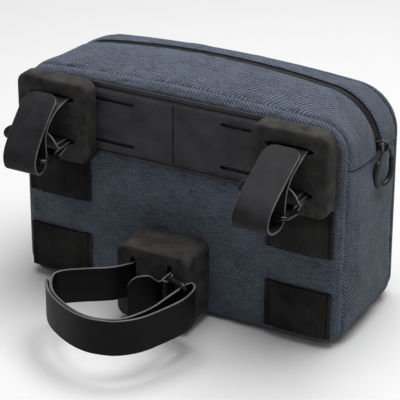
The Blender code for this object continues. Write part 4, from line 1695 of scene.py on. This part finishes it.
@dataclass
class WebbingPatches:
    """Four ribbed webbing patches, sewn at both ends."""

    finishes: Finishes
    repeats: Repeats
    width: float = 47.5 * MM
    height: float = 34 * MM
    x: float = 91 * MM
    low_z: float = 24 * MM
    high_z: float = 83 * MM
    sheet: float = 1.0 * MM
    bow: float = 1.2 * MM
    gap: float = 0.3 * MM
    rib_pitch: float = 1.3 * MM
    rib_radius: float = 0.5 * MM
    rib_end: float = 0.6 * MM
    seam_inset: float = 2.4 * MM
    stitch_pitch: float = 2.2 * MM
    stitch_length: float = 1.9 * MM
    stitch_thread: float = 0.4 * MM

    @property
    def rects(self) -> list[Rect]:
        """The rectangles that the patches cover."""
        found = []
        for side in Side:
            for z in (self.low_z, self.high_z):
                x = side.value * self.x
                found.append(Rect(
                    x - self.width / 2, z - self.height / 2, x + self.width / 2, z + self.height / 2
                ))
        return found

    def profile(self) -> list[tuple[float, float]]:
        """List the patch's bow as x and lift."""
        half = self.width / 2
        points = []
        for i in range(33):
            t = -1 + 2 * i / 32
            rise = min(1.0, max(0.0, (1 - abs(t)) - 0.14) / 0.3)
            points.append((half * t, self.bow * rise * rise * (3 - 2 * rise)))
        return points

    def build(self) -> None:
        """Make the four patches."""
        for side in Side:
            for level, z in ((Level.LOW, self.low_z), (Level.HIGH, self.high_z)):
                self.make_patch(f"webbing_{level.name.lower()}_{side.name.lower()}", side.value * self.x, z)

    def make_patch(self, node: str, x: float, z: float) -> None:
        """Make one patch: its sheet, its ribs and its end seams.

        Args:
            node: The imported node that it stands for.
            x: Its middle.
            z: Its middle's height.
        """
        points = self.profile()
        face_y = PANEL_Y - self.gap - self.sheet
        rows = []
        maps = []
        for edge in np.linspace(-1, 1, 5):
            height = z + edge * self.height / 2
            rows.append([Vector((x + px, face_y - lift, height)) for px, lift in points])
            maps.append([(px, height) for px, _ in points])
        data = loft("patch", rows, maps)
        face_outwards(data, Vector((0, 0, z)))
        body = thicken(data, self.sheet)
        front = [Vector((x + px, face_y - lift, z)) for px, lift in points]
        ribs = self.repeats.run(
            RepeatKind.RIB, [front], self.rib_pitch, self.rib_radius, self.height - self.rib_end,
            self.finishes.webbing,
        )
        bm = bmesh.new()
        bm.from_mesh(body)
        ground = len(bm.faces)
        bm.from_mesh(ribs)
        for i, face in enumerate(bm.faces):
            face.material_index = int(i >= ground)
        bm.to_mesh(body)
        bm.free()
        # The sheet under the ribs takes the stitches' black finish, darker than the ribs: painted shade in
        # the valleys between the ribs
        finishes = [self.finishes.thread_and_rib_gap_shade, self.finishes.webbing]
        piece = add_piece(f"{node}_patch", body, finishes)
        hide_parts(node)
        heights = np.linspace(-1, 1, 8) * (self.height / 2 - 1.5 * MM)
        seam_y = face_y - self.rib_radius * 0.75
        lines = []
        for side in Side:
            seam_x = x + side.value * (self.width / 2 - self.seam_inset)
            lines.append([Vector((seam_x, seam_y, z + height)) for height in heights])
        data = self.repeats.run(
            RepeatKind.STITCH, lines, self.stitch_pitch, self.stitch_thread, self.stitch_length,
            self.finishes.thread_and_rib_gap_shade,
        )
        add_piece(f"{node}_stitches", data, [self.finishes.thread_and_rib_gap_shade])


class LoopPoint(NamedTuple):
    """A point of a strap: out in shares of its reach, along in half distances of its slots."""

    out: float
    along: float


RIGHT_STRAP = (
    LoopPoint(0.155, 0.81), LoopPoint(0.345, 0.53), LoopPoint(0.455, 0.23), LoopPoint(0.52, -0.13),
    LoopPoint(0.55, -0.53), LoopPoint(0.56, -0.93), LoopPoint(0.58, -1.27), LoopPoint(0.66, -1.50),
    LoopPoint(0.79, -1.52), LoopPoint(0.92, -1.36), LoopPoint(1.00, -1.00), LoopPoint(0.96, -0.57),
    LoopPoint(0.81, -0.13), LoopPoint(0.60, 0.30), LoopPoint(0.395, 0.70), LoopPoint(0.10, 1.20),
)
LEFT_STRAP = (
    LoopPoint(0.14, 0.93), LoopPoint(0.27, 0.78), LoopPoint(0.39, 0.50), LoopPoint(0.47, 0.20),
    LoopPoint(0.505, -0.13), LoopPoint(0.51, -0.50), LoopPoint(0.505, -0.88), LoopPoint(0.51, -1.22),
    LoopPoint(0.56, -1.55), LoopPoint(0.65, -1.68), LoopPoint(0.735, -1.50), LoopPoint(0.765, -1.10),
    LoopPoint(0.735, -0.70), LoopPoint(0.66, -0.30), LoopPoint(0.56, 0.15), LoopPoint(0.43, 0.64),
    LoopPoint(0.31, 1.03), LoopPoint(0.16, 1.38),
)
BAR_TONGUE = (
    LoopPoint(0.155, -0.93), LoopPoint(0.285, -0.89), LoopPoint(0.38, -0.75), LoopPoint(0.44, -0.48),
    LoopPoint(0.455, -0.20), LoopPoint(0.44, 0.03),
)
BAR_RING = (LoopPoint(0.285, -1.30), LoopPoint(0.635, -1.08))
TUBE_STRAP = (
    LoopPoint(0.15, 1.64), LoopPoint(0.28, 2.66), LoopPoint(0.39, 3.44), LoopPoint(0.475, 3.68),
    LoopPoint(0.59, 3.47), LoopPoint(0.725, 2.96), LoopPoint(0.835, 2.20), LoopPoint(0.935, 1.10),
    LoopPoint(0.973, 0.23), LoopPoint(0.955, -0.58), LoopPoint(0.88, -1.29), LoopPoint(0.725, -1.76),
    LoopPoint(0.57, -2.00), LoopPoint(0.39, -2.10), LoopPoint(0.25, -2.18), LoopPoint(0.14, -2.24),
    LoopPoint(0.075, -2.41), LoopPoint(0.11, -2.68), LoopPoint(0.20, -2.84), LoopPoint(0.38, -2.82),
    LoopPoint(0.63, -2.39), LoopPoint(0.81, -1.93), LoopPoint(0.94, -1.20), LoopPoint(0.99, -0.43),
    LoopPoint(1.00, 0.29), LoopPoint(0.96, 1.21), LoopPoint(0.86, 2.29), LoopPoint(0.75, 3.07),
    LoopPoint(0.62, 3.64), LoopPoint(0.53, 3.86),
)
TUBE_TONGUE = (
    LoopPoint(0.065, -0.86), LoopPoint(0.13, -0.68), LoopPoint(0.21, -0.25), LoopPoint(0.275, 0.40),
)
TUBE_RING = (LoopPoint(0.12, -1.25), LoopPoint(0.209, -2.48))


@dataclass
class StrapSet:
    """A block's strap, tab and ring, laid out in the block's own plane."""

    name: str
    centre: Vector
    along: Vector
    face: float
    pitch: float
    reach: float
    tables: tuple[tuple[LoopPoint, ...], tuple[LoopPoint, ...], tuple[LoopPoint, ...]]
    rubber: bpy.types.Material
    finishes: Finishes
    width: float = 25 * MM
    sheet: float = 1.5 * MM
    gap: float = 0.3 * MM
    slot_play: float = 0.4 * MM
    turn: float = 1.25 * MM
    ring_wire: float = 1.5 * MM
    ring_play: float = 0.8 * MM
    ring_corner: float = 3.5 * MM
    wrap_play: float = 0.5 * MM
    end_corner: float = 8 * MM
    tongue_width: float = 42 * MM
    tongue_corner: float = 10 * MM
    tongue_head: float = 13 * MM
    tongue_taper: float = 9 * MM
    tongue_shift: float = 2.5 * MM
    band_front: float = 3.5 * MM
    step: float = 1.5 * MM

    def spot(self, row: LoopPoint) -> Vector:
        """Turn a table's point into a point of the plane, out and along."""
        return Vector((self.face + row.out * self.reach, row.along * self.pitch / 2))

    def place(self, point: Vector, across: float = 0.0) -> Vector:
        """Put a point of the plane in space."""
        side = Vector((0, 1, 0)).cross(self.along)
        return self.centre + Vector((0, -point[0], 0)) + self.along * point[1] + side * across

    def build(self) -> None:
        """Make the strap, the tab and the ring."""
        strap_rows, tongue_rows, ring_rows = self.tables
        path = self.strap_path(strap_rows, ring_rows)
        widths = self.end_widths(path, self.width / 2, self.end_corner)
        self.make_ribbon(f"strap_{self.name}", path, widths, 0.0)
        root = -self.pitch / 2 + (self.sheet + self.slot_play) / 2
        start = [Vector((self.band_front + self.gap, root)), Vector((self.face, root))]
        tongue = catmull(start + [self.spot(row) for row in tongue_rows], self.step * 0.7)
        self.make_ribbon(f"tongue_{self.name}", tongue, self.tongue_widths(tongue), -self.tongue_shift)
        self.make_ring(ring_rows)

    def strap_path(self, rows: Sequence[LoopPoint], ring_rows: Sequence[LoopPoint]) -> list[Vector]:
        """Route the strap round its ring, behind the block and round its free loop.

        Args:
            rows: The free loop.
            ring_rows: The ring's two long bars.

        Returns:
            The strap's middle line in the plane.
        """
        low = -self.pitch / 2 - (self.sheet + self.slot_play) / 2
        high = self.pitch / 2
        bar = self.spot(ring_rows[0])
        wrap = self.ring_wire + self.wrap_play + self.sheet / 2
        leave = Vector((self.face + self.sheet, low))
        back = Vector((self.face + self.sheet, low - self.sheet - 2 * self.gap))
        upper = self.tangent(bar, leave, wrap, -1)
        lower = self.tangent(bar, back, wrap, 1)
        while upper < lower:
            upper += 2 * math.pi
        path = [back] + self.arc(bar, wrap, lower, upper, 16) + [leave]
        leg = self.gap + self.sheet / 2
        path += self.arc(Vector((leg + self.turn, low + self.turn)), self.turn, -math.pi / 2, -math.pi, 4)
        path += self.arc(Vector((leg + self.turn, high - self.turn)), self.turn, math.pi, math.pi / 2, 4)
        free = [Vector((self.face, high))] + [self.spot(row) for row in rows]
        return path + catmull(free, self.step)

    @staticmethod
    def tangent(centre: Vector, point: Vector, radius: float, side: int) -> float:
        """Angle at which a line from a point touches a circle, on one of its sides."""
        way = point - centre
        return math.atan2(way.y, way.x) + side * math.acos(radius / way.length)

    @staticmethod
    def arc(centre: Vector, radius: float, start: float, end: float, steps: int) -> list[Vector]:
        """List points on an arc, ends included."""
        turns = [start + (end - start) * i / steps for i in range(steps + 1)]
        return [centre + radius * Vector((math.cos(turn), math.sin(turn))) for turn in turns]

    @staticmethod
    def end_widths(path: Sequence[Vector], full: float, corner: float) -> list[float]:
        """Half widths along a path whose last end is rounded.

        Args:
            path: The ribbon's middle line.
            full: Its half width.
            corner: The end's corner radius.

        Returns:
            A half width for each point.
        """
        left = [0.0]
        for a, b in zip(reversed(path[:-1]), reversed(path[1:])):
            left.append(left[-1] + (a - b).length)
        left.reverse()
        widths = []
        for rest in left:
            inside = corner - min(corner, max(rest, 0.03 * corner))
            widths.append(full - corner + math.sqrt(corner * corner - inside * inside))
        return widths

    def tongue_widths(self, path: Sequence[Vector]) -> list[float]:
        """Half widths of the tab: a round-cornered head that narrows to the strap's width."""
        widths = self.end_widths(path, self.tongue_width / 2, self.tongue_corner)
        neck = self.width / 2
        left = 0.0
        for i in range(len(path) - 2, -1, -1):
            left += (path[i + 1] - path[i]).length
            share = min(1.0, max(0.0, (left - self.tongue_head) / self.tongue_taper))
            widths[i] += (neck - widths[i]) * share * share * (3 - 2 * share)
        return widths

    def make_ribbon(self, name: str, path: Sequence[Vector], widths: Sequence[float], shift: float) -> None:
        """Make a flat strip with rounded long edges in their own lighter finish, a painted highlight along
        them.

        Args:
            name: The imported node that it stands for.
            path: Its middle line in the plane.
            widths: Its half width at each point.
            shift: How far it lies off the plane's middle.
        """
        half = self.sheet / 2
        chamfer = 0.3 * MM
        spans = 7
        bm = bmesh.new()
        rings = []
        for i, (point, width) in enumerate(zip(path, widths)):
            before = path[max(i - 1, 0)]
            after = path[min(i + 1, len(path) - 1)]
            way = (after - before).normalized()
            normal = Vector((-way.y, way.x))
            flat = [-width + chamfer + 2 * (width - chamfer) * k / spans for k in range(spans + 1)]
            ring = [(across, half) for across in flat] + [(width, half - chamfer), (width, -half + chamfer)]
            ring += [(across, -half) for across in reversed(flat)]
            ring += [(-width, -half + chamfer), (-width, half - chamfer)]
            rings.append([
                bm.verts.new(self.place(point + normal * rise, shift + across)) for across, rise in ring
            ])
        count = len(rings[0])
        # The rounded edges and both ends take the lighter copy of the rubber, a painted highlight
        edge_spans = {spans, spans + 1, spans + 2, 2 * spans + 3, 2 * spans + 4, 2 * spans + 5}
        for low, high in zip(rings, rings[1:]):
            for k in range(count):
                face = bm.faces.new((low[k], low[(k + 1) % count], high[(k + 1) % count], high[k]))
                face.material_index = 1 if k in edge_spans else 0
        for ring in (rings[0], rings[-1]):
            bm.faces.new(ring).material_index = 1
        bmesh.ops.recalc_face_normals(bm, faces=bm.faces)
        for face in bm.faces:
            face.smooth = True
        data = bpy.data.meshes.new(name)
        bm.to_mesh(data)
        bm.free()
        data.set_sharp_from_angle(angle=math.radians(35))
        piece = add_piece(f"{name}_ribbon", data, [self.rubber, self.finishes.edge_highlight])
        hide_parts(name)

    def make_ring(self, ring_rows: Sequence[LoopPoint]) -> None:
        """Make the wire ring between its two long bars.

        Args:
            ring_rows: The middles of the two bars.
        """
        near, far = [self.spot(row) for row in ring_rows]
        way = (far - near).normalized()
        half = self.width / 2 + self.ring_play + self.ring_wire
        length = (far - near).length
        corner = self.ring_corner
        corners = (
            (corner, half - corner, math.pi / 2),
            (corner, -half + corner, math.pi),
            (length - corner, -half + corner, -math.pi / 2),
            (length - corner, half - corner, 0.0),
        )
        points = []
        for out, across, start in corners:
            for i in range(9):
                turn = start + math.pi / 2 * i / 8
                spot = near + way * (out + corner * math.cos(turn))
                points.append(self.place(spot, across + corner * math.sin(turn)))
        data = wire("ring", points, [self.ring_wire] * len(points), closed=True, sides=16)
        piece = add_piece(f"ring_{self.name}_wire", data, [self.finishes.metal])
        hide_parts(f"ring_{self.name}")


@dataclass
class FoamBlock:
    """A foam block with soft edges and two slots, made as one skin and smoothed."""

    node: str
    size: Vector
    centre: Vector
    slots: Sequence[tuple[Vector, Vector]]
    finishes: Finishes
    corner: float = 7 * MM
    edge: float = 2.2 * MM
    voxel: float = 0.75 * MM

    def build(self) -> None:
        """Make the block."""
        bm = bmesh.new()
        bmesh.ops.create_cube(bm, size=1.0)
        for vert in bm.verts:
            vert.co = self.centre + Vector([vert.co[i] * self.size[i] for i in range(3)])
        upright = [e for e in bm.edges if abs((e.verts[1].co - e.verts[0].co).normalized().y) > 0.9]
        bmesh.ops.bevel(bm, geom=upright, offset=self.corner, segments=8, profile=0.5, affect="EDGES")
        front = self.centre.y - self.size.y / 2
        rim = [e for e in bm.edges if all(abs(v.co.y - front) < 0.01 * MM for v in e.verts)]
        bmesh.ops.bevel(bm, geom=rim, offset=self.edge, segments=4, profile=0.5, affect="EDGES")
        data = bpy.data.meshes.new(self.node)
        bm.to_mesh(data)
        bm.free()
        block = scratch_object(self.node, data)
        cutters = []
        for i, (middle, half) in enumerate(self.slots):
            cutter = scratch_object(f"slot_{i}", self.slot_mesh(middle, half))
            cut = block.modifiers.new(f"slot_{i}", "BOOLEAN")
            cut.operation = "DIFFERENCE"
            cut.solver = "EXACT"
            cut.object = cutter
            cutters.append(cutter)
        skin = block.modifiers.new("skin", "REMESH")
        skin.mode = "VOXEL"
        skin.voxel_size = self.voxel
        skin.use_smooth_shade = True
        smooth = block.modifiers.new("smooth", "SMOOTH")
        smooth.factor = 0.5
        smooth.iterations = 3
        data = baked(block)
        for cutter in cutters:
            bpy.data.objects.remove(cutter, do_unlink=True)
        piece = add_piece(f"{self.node}_foam", data, [self.finishes.foam])
        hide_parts(self.node)

    def slot_mesh(self, middle: Vector, half: Vector) -> bpy.types.Mesh:
        """Make a slot's cutter: long and thin, tapered to both of its ends.

        Args:
            middle: The slot's middle.
            half: Half its size; its longer one across the face is the slot's length.

        Returns:
            The cutter's closed mesh.
        """
        lengthwise = 0 if half.x > half.z else 2
        thin = 2 - lengthwise
        profile = [(1.0, 0.22), (0.97, 0.42), (0.9, 0.55), (0.8, 0.85), (0.72, 1.0)]
        ring = profile + [(-l, t) for l, t in reversed(profile)]
        ring += [(l, -t) for l, t in reversed(ring)]
        bm = bmesh.new()
        rings = []
        for depth in (-1, 1):
            row = []
            for l, t in ring:
                point = Vector(middle)
                point[lengthwise] += l * half[lengthwise]
                point[thin] += t * half[thin]
                point.y += depth * half.y
                row.append(bm.verts.new(point))
            rings.append(row)
        bm.faces.new(rings[0])
        bm.faces.new(reversed(rings[1]))
        for i in range(len(ring)):
            k = (i + 1) % len(ring)
            bm.faces.new((rings[0][k], rings[0][i], rings[1][i], rings[1][k]))
        bmesh.ops.recalc_face_normals(bm, faces=bm.faces)
        data = bpy.data.meshes.new("slot")
        bm.to_mesh(data)
        bm.free()
        return data


@dataclass
class BarMounts:
    """The three foam blocks with their straps."""

    finishes: Finishes
    band_z: float = 130.5 * MM
    slot_pitch: float = 30 * MM
    bar_size: tuple[float, float, float] = (55 * MM, 12.5 * MM, 57.5 * MM)
    bar_back: float = 3.8 * MM
    bar_reach: float = 53 * MM
    slot_rise: float = 1.3 * MM
    left_x: float = -86.2 * MM
    right_x: float = 89 * MM
    tube_size: tuple[float, float, float] = (54 * MM, 32 * MM, 54.5 * MM)
    tube_x: float = -1.8 * MM
    tube_z: float = 31.3 * MM
    tube_slot_rise: float = 2.5 * MM
    tube_pitch: float = 28 * MM
    tube_reach: float = 78 * MM
    slot_width: float = 34 * MM
    slot_height: float = 4.2 * MM
    gap: float = 0.3 * MM

    def build(self) -> None:
        """Make the blocks and what they carry."""
        up = Vector((0, 0, 1))
        for name, x, rows in (("left", self.left_x, LEFT_STRAP), ("right", self.right_x, RIGHT_STRAP)):
            size = Vector(self.bar_size)
            centre = Vector((x, PANEL_Y - self.bar_back - size.y / 2, self.band_z - self.slot_rise))
            slots = []
            for level in Level:
                middle = Vector((x, centre.y, self.band_z + level.value * self.slot_pitch / 2))
                slots.append((middle, Vector((self.slot_width / 2, size.y, self.slot_height / 2))))
            FoamBlock(f"bar_block_{name}", size, centre, slots, self.finishes).build()
            origin = Vector((x, PANEL_Y, self.band_z))
            face = self.bar_back + size.y
            StrapSet(
                name, origin, up, face, self.slot_pitch, self.bar_reach, (rows, BAR_TONGUE, BAR_RING),
                self.finishes.strap, self.finishes,
            ).build()
        self.build_tube_mount()

    def build_tube_mount(self) -> None:
        """Make the deep block that meets the head tube, with its strap."""
        size = Vector(self.tube_size)
        centre = Vector((self.tube_x, PANEL_Y - self.gap - size.y / 2, self.tube_z))
        slot_z = self.tube_z + self.tube_slot_rise
        slots = []
        for side in Side:
            middle = Vector((self.tube_x + side.value * self.tube_pitch / 2, centre.y, slot_z))
            slots.append((middle, Vector((self.slot_height / 2, size.y, self.slot_width / 2))))
        FoamBlock("tube_block", size, centre, slots, self.finishes).build()
        origin = Vector((self.tube_x, PANEL_Y, slot_z))
        # The lowest strap takes the darker copy of the strap rubber, painted shade where it hangs under the
        # bag
        StrapSet(
            "tube", origin, Vector((-1, 0, 0)), self.gap + size.y, self.tube_pitch, self.tube_reach,
            (TUBE_STRAP, TUBE_TONGUE, TUBE_RING), self.finishes.tube_strap_in_shade, self.finishes,
            tongue_width=37 * MM, tongue_shift=3.8 * MM,
        ).build()


# The studio


@dataclass(frozen=True)
class Studio:
    """Camera, floor and lights."""

    eye: tuple[float, float, float] = (0.5327, -1.0089, 0.6094)
    aim: tuple[float, float, float] = (0.0004, -0.0151, 0.0692)
    roll: float = math.radians(0.3)
    lens: float = 164.7
    floor_tone: Colour = (0.62, 0.62, 0.62)
    sky: float = 0.24
    lights: tuple = field(
        default=(
            ("key_softbox", (0.15, 0.14, 1.5), (0.0, 0.0, 0.08), 1.3, 38.0),
            ("bar_side_fill", (-0.9, -1.4, 0.7), (0.0, 0.0, 0.08), 1.0, 2.4),
            ("end_fill", (1.6, -0.3, 0.6), (0.0, 0.0, 0.08), 0.9, 1.5),
        )
    )

    def build(self) -> None:
        """Make the camera, the floor, the lights and the sky."""
        self.make_camera()
        self.make_floor()
        for name, place, aim, size, power in self.lights:
            self.make_light(name, Vector(place), Vector(aim), size, power)
        world = bpy.data.worlds.new("studio")
        world.use_nodes = True
        shader = world.node_tree.nodes["Background"]
        shader.inputs["Color"].default_value = (1.0, 1.0, 1.0, 1.0)
        shader.inputs["Strength"].default_value = self.sky
        bpy.context.scene.world = world
        bpy.context.scene.view_settings.view_transform = "Standard"

    def make_camera(self) -> None:
        """Stand the camera where the photograph was taken from."""
        data = bpy.data.cameras.new("camera")
        data.sensor_width = 36.0
        data.lens = self.lens
        data.clip_end = 20.0
        camera = bpy.data.objects.new("camera", data)
        bpy.context.scene.collection.objects.link(camera)
        back = (Vector(self.eye) - Vector(self.aim)).normalized()
        right = Vector((0, 0, 1)).cross(back).normalized()
        up = back.cross(right)
        right_rolled = right * math.cos(self.roll) + up * math.sin(self.roll)
        up_rolled = back.cross(right_rolled)
        camera.matrix_world = Matrix((
            (right_rolled.x, up_rolled.x, back.x, self.eye[0]),
            (right_rolled.y, up_rolled.y, back.y, self.eye[1]),
            (right_rolled.z, up_rolled.z, back.z, self.eye[2]),
            (0, 0, 0, 1),
        ))
        bpy.context.scene.camera = camera

    def make_floor(self) -> None:
        """Lay the pale floor."""
        data = bpy.data.meshes.new("floor")
        data.from_pydata([(-6, -6, 0), (6, -6, 0), (6, 6, 0), (-6, 6, 0)], [], [(0, 1, 2, 3)])
        material, _, shader = new_material("pale_floor")
        shader.inputs["Base Color"].default_value = rgba(self.floor_tone)
        shader.inputs["Roughness"].default_value = 0.9
        data.materials.append(material)
        floor = bpy.data.objects.new("floor", data)
        bpy.context.scene.collection.objects.link(floor)
        floor.location.z = -0.2 * MM
        floor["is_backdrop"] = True

    def make_light(self, name: str, place: Vector, aim: Vector, size: float, power: float) -> None:
        """Hang one soft light.

        Args:
            name: Its name.
            place: Where it hangs.
            aim: What it points at.
            size: Its edge.
            power: Its power in watts.
        """
        data = bpy.data.lights.new(name, "AREA")
        data.shape = "SQUARE"
        data.size = size
        data.energy = power
        light = bpy.data.objects.new(name, data)
        bpy.context.scene.collection.objects.link(light)
        light.location = place
        light.rotation_mode = "QUATERNION"
        light.rotation_quaternion = (aim - place).to_track_quat("-Z", "Y")


def main(cad_box: tuple[Vector, Vector]) -> None:
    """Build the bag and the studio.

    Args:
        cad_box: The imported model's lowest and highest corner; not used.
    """
    logging.basicConfig(level=logging.INFO, format="%(name)s %(message)s")
    Studio().build()
    finishes = Finishes()
    repeats = Repeats()
    form = BodyForm()
    band = Band(finishes, repeats)
    patches = WebbingPatches(finishes, repeats)
    tube_block_seat = Rect(low_x=-29 * MM, low_z=4 * MM, high_x=26 * MM, high_z=59 * MM)
    ClothBody(form, finishes, [band.rect, *patches.rects, tube_block_seat]).build()
    Zipper(form, finishes).build()
    band.build()
    patches.build()
    BarMounts(finishes).build()


clear_scene()
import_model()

if __name__ == "__main__":
    main(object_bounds())
